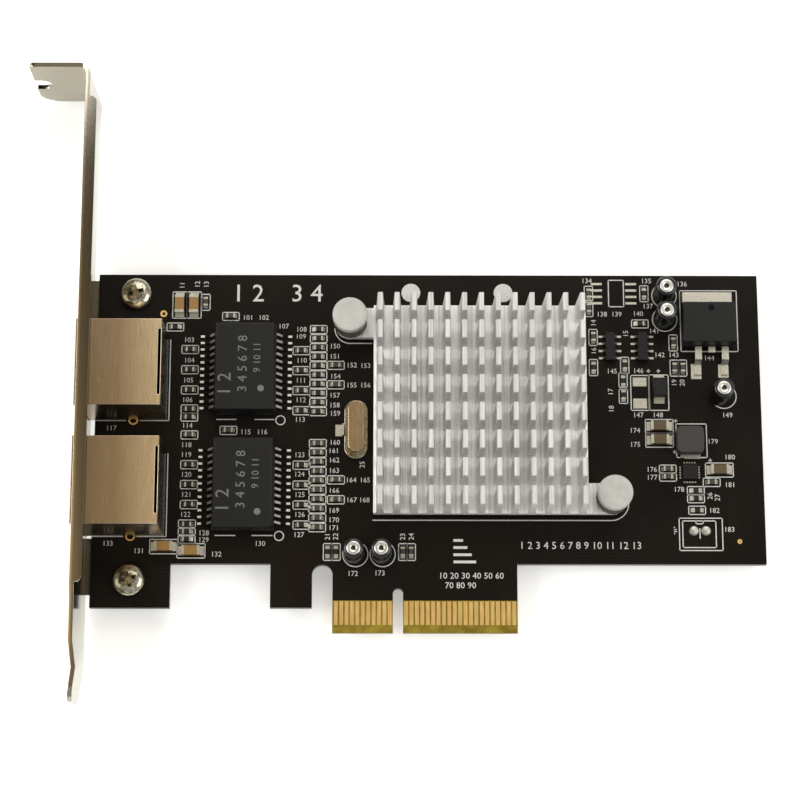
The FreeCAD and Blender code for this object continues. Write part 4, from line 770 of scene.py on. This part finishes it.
# The upright capacitors: pressed aluminium cans in black shrunk sleeves that lap over the rim and leave a
# bright ring of bare metal, dished in the middle.
# The pressed metal is bright and smooth, and the sleeve has the wet gloss of shrunk film.
bright_can = grained("bright pressed aluminium", "#d4d4ce", "#ecece8", (0.4, 0.4, 0.4), 0.3, 1.0)
sleeve = grained("black shrunk sleeve", "#080809", "#0d0d0e", (0.6, 0.6, 0.6), 0.22, ior=1.54)
cans = bmesh.new()
for low, high in islands("upright_capacitors"):
    x, y = (low.x + high.x) / 2, (low.y + high.y) / 2
    radius = (high.x - low.x) / 2
    lathe(cans, x, y, [
        (0, low.z), (radius * 0.9, low.z), (radius, low.z + 0.2), (radius, low.z + 0.9),
        (radius * 0.93, low.z + 1.15), (radius, low.z + 1.4), (radius, high.z - 0.55), (radius * 0.94, high.z - 0.25),
        (radius * 0.84, high.z - 0.08), (radius * 0.68, high.z - 0.02), (radius * 0.66, high.z - 0.1),
    ], sides=36, finish=1)
    lathe(cans, x, y, [
        (radius * 0.66, high.z - 0.1), (radius * 0.62, high.z - 0.04), (radius * 0.56, high.z),
        (radius * 0.3, high.z), (radius * 0.25, high.z - 0.08),
    ], sides=36)
    lathe(cans, x, y, [(radius * 0.25, high.z - 0.08), (0, high.z - 0.12)], sides=36, finish=1)
bmesh.ops.remove_doubles(cans, verts=cans.verts, dist=0.001 * MM)
keep("sleeved_capacitors", cans, "can_aluminium", bright_can, sleeve, replaced=("upright_capacitors",), smooth=40)


# The regulator: a body moulded in the transformers' epoxy on a thick tab of tinned copper, which is soldered
# flat to the board. An ejector pin leaves a dark dimple in the body.
keep("regulator_moulding", rounded("regulator_body", 0.2, 3), "moulding_compound", epoxy,
     replaced=("regulator_body",), smooth=40)
keep("regulator_plate", rounded("regulator_tab", 0.12), "tin_plate", tin, replaced=("regulator_tab",), smooth=40)
keep("regulator_legs", rounded("regulator_leads", 0.08), "tin_plate", tin, replaced=("regulator_leads",), smooth=40)
dimple = bmesh.new()
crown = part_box("regulator_body")[1][2] / MM
disc(dimple, 59.1, 61.2, 0.6, crown - 0.1, crown + 0.01, sides=28)
keep("regulator_dimple", dimple, "moulding_compound", painted_hollow_dark, smooth=40)


# The inductor: a block of ground ferrite, matt and dark, with its upright corners cut. It stands on two tinned
# ends that are soldered to the board.
# Grinding leaves a fine grit that scatters the light, so it never glints.
ferrite = grained("ground sintered ferrite", "#211d1a", "#302b27", (0.25, 0.25, 0.25), 0.6, ior=1.6, relief=0.02)


def upright_edge(edge):
    """Whether an edge stands more or less upright."""
    way = (edge.verts[0].co - edge.verts[1].co).normalized()
    return abs(way.z) > 0.8


core = rounded("inductor_core", 0.85, 3, only=upright_edge)
keep("cut_corner_core", core, "ferrite", ferrite, replaced=("inductor_core",))
dress(tin, "inductor_terminals")


# The small moulded parts: the power converter, the diode and the two transistors, each a die on a tinned lead
# frame, moulded in epoxy. The converter's leads end under it, in solder that shows along its four sides.
keep("converter_moulding", rounded("converter_chip", 0.08), "moulding_compound", epoxy,
     replaced=("converter_chip",), smooth=40)
keep("diode_moulding", rounded("diode_body", 0.12), "moulding_compound", epoxy, replaced=("diode_body",), smooth=40)
for side in ("left", "right"):
    keep(f"transistor_moulding_{side}", rounded(f"transistor_body_{side}", 0.1), "moulding_compound", epoxy,
         replaced=(f"transistor_body_{side}",), smooth=40)
    dress(tin, f"transistor_leads_{side}")
dress(tin, "diode_terminals")
low, high = [Vector(corner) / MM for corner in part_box("converter_chip")]
middle = (low + high) / 2
pad_x, pad_y = 1.75, 1.85
pads = []
for step in (-1.0, -0.5, 0.0, 0.5, 1.0):
    for side in (-1, 1):
        pads += [(middle.x + side * pad_x, middle.y + step, board_top),
                 (middle.x + step, middle.y + side * pad_y, board_top)]
joints = repeat("converter_pads", pads, tin, grow_cone, **{"Top radius": 0.12, "Foot radius": 0.22, "Height": 0.12})
keep("converter_pads", joints, "tin_plate")


# The chips: fired ceramic blocks with plated ends. Capacitors are tan right through; resistors are white
# ceramic under a black glazed film. Each end is wetted by a fillet of solder. The large ones come from two
# batches, and the one fitted on the right of the card is browner.
# Fired ceramic is satin and finely clouded. The glaze over the resistors is smoother.
tan_ceramic, tree, shader = surface("tan fired ceramic", 0.4, ior=1.7)
spot = add(tree, "ShaderNodeTexCoord").outputs["Object"]
reach = add(tree, "ShaderNodeSeparateXYZ", {"Vector": spot}).outputs["X"]
left_batch, right_batch = 0 * MM, 20 * MM
batch = add(tree, "ShaderNodeMapRange", {"Value": reach, "From Min": left_batch, "From Max": right_batch})
fired = add(tree, "ShaderNodeValToRGB", {"Fac": batch.outputs["Result"]}, stops=[(0.0, "#8f6a2e"), (1.0, "#4d3a14")])
feed(shader, {"Base Color": fired.outputs["Color"]})
small_ceramic = grained("brown fired ceramic", "#221d18", "#352d24", (0.5, 0.5, 0.5), 0.4, ior=1.7)
black_glaze = grained("black glazed film", "#121214", "#1e1e20", (0.5, 0.5, 0.5), 0.3)


def grow_block(tree, given):
    """A block standing on its point."""
    size = add(tree, "ShaderNodeCombineXYZ", {"X": given["Length"], "Y": given["Width"], "Z": given["Height"]})
    half = add(tree, "ShaderNodeMath", {0: given["Height"], 1: 0.5}, operation="MULTIPLY")
    rise = add(tree, "ShaderNodeCombineXYZ", {"Z": half.outputs[0]})
    block = add(tree, "GeometryNodeMeshCube", {"Size": size.outputs[0]})
    return add(tree, "GeometryNodeTransform", {"Geometry": block.outputs["Mesh"], "Translation": rise.outputs[0]}
               ).outputs["Geometry"]


def join(*meshes):
    """Several meshes as one."""
    work = bmesh.new()
    for mesh in meshes:
        work.from_mesh(mesh)
    return work


body_length, body_width = 1.0, 0.8
end_length, end_width, end_middle = 0.32, 0.84, 0.65
heel, toe, half = 0.8, 1.22, 0.4  # the solder reaches from its heel to its toe, out from the chip's middle
ends, fillets = [], bmesh.new()
for node, name, finish, slot, height in (
    ("chip_resistors", "glazed_resistors", black_glaze, "resistor_ceramic", 0.45),
    ("chip_capacitors", "fired_capacitors", small_ceramic, "capacitor_ceramic", 0.75),
):
    meshes = []
    for lies in (True, False):
        middles = [((low.x + high.x) / 2, (low.y + high.y) / 2, board_top) for low, high in islands(node)
                   if (high.x - low.x > high.y - low.y) == lies]
        if not middles:
            continue
        for length, width, tall, shifts, made in (
            (body_length, body_width, height, (0,), meshes),
            (end_length, end_width, height + 0.03, (-end_middle, end_middle), ends),
        ):
            spots = [(x + (shift if lies else 0), y + (0 if lies else shift), z)
                     for x, y, z in middles for shift in shifts]
            made.append(repeat(name, spots, finish, grow_block, Length=length if lies else width,
                               Width=width if lies else length, Height=tall))
        for x, y, z in middles:
            for side in (-1, 1):
                inner, outer, climb = side * heel, side * toe, height * 0.7
                corners = [(outer, -half, 0), (outer, half, 0), (inner, half, 0), (inner, -half, 0),
                           (inner, half, climb), (inner, -half, climb)]
                if not lies:
                    corners = [(b, a, c) for a, b, c in corners]
                verts = [fillets.verts.new(Vector((x + a, y + b, z + c)) * MM) for a, b, c in corners]
                for face in ((0, 1, 2, 3), (0, 1, 4, 5), (2, 3, 5, 4), (1, 2, 4), (0, 3, 5)):
                    fillets.faces.new([verts[index] for index in face])
    keep(name, join(*meshes), slot, finish, replaced=(node,))
keep("plated_chip_ends", join(*ends), "tin_plate", tin)
keep("chip_solder", fillets, "tin_plate", tin)
dress(tan_ceramic, "large_capacitor_bodies")
dress(tin, "large_capacitor_terminals")


# The solder joints on the underside, where the leads of the jacks, the capacitors and the crystal come
# through the board and are wave-soldered.
bead_height = 0.35
pin_x, pin_pitch, first_pin = -46.2, 1.27, 4.45
post_x, post_offset, can_wire_offset = -52.5, 7.4, 1.0
under = []
for jack_y in (48.25, 26.15):
    under += [(pin_x - 2 * pin_pitch * (step % 2), jack_y - first_pin + pin_pitch * step) for step in range(8)]
    under += [(post_x, jack_y - post_offset), (post_x, jack_y + post_offset)]
for can_x, can_y in ((-8.2, 14.67), (-3.1, 14.67), (50.45, 64.69), (50.45, 60.03), (60.7, 44.98)):
    under += [(can_x - can_wire_offset, can_y), (can_x + can_wire_offset, can_y)]
crystal_x, crystal_y, wire_offset = -7.9, 38.38, 2.44
under += [(crystal_x, crystal_y - wire_offset), (crystal_x, crystal_y + wire_offset)]
beads = repeat("wave_solder", [(x, y, -board_top - bead_height) for x, y in under], tin, grow_cone,
               **{"Top radius": 0.85, "Foot radius": 0.3, "Height": bead_height})
keep("wave_solder", beads, "tin_plate", smooth=40)
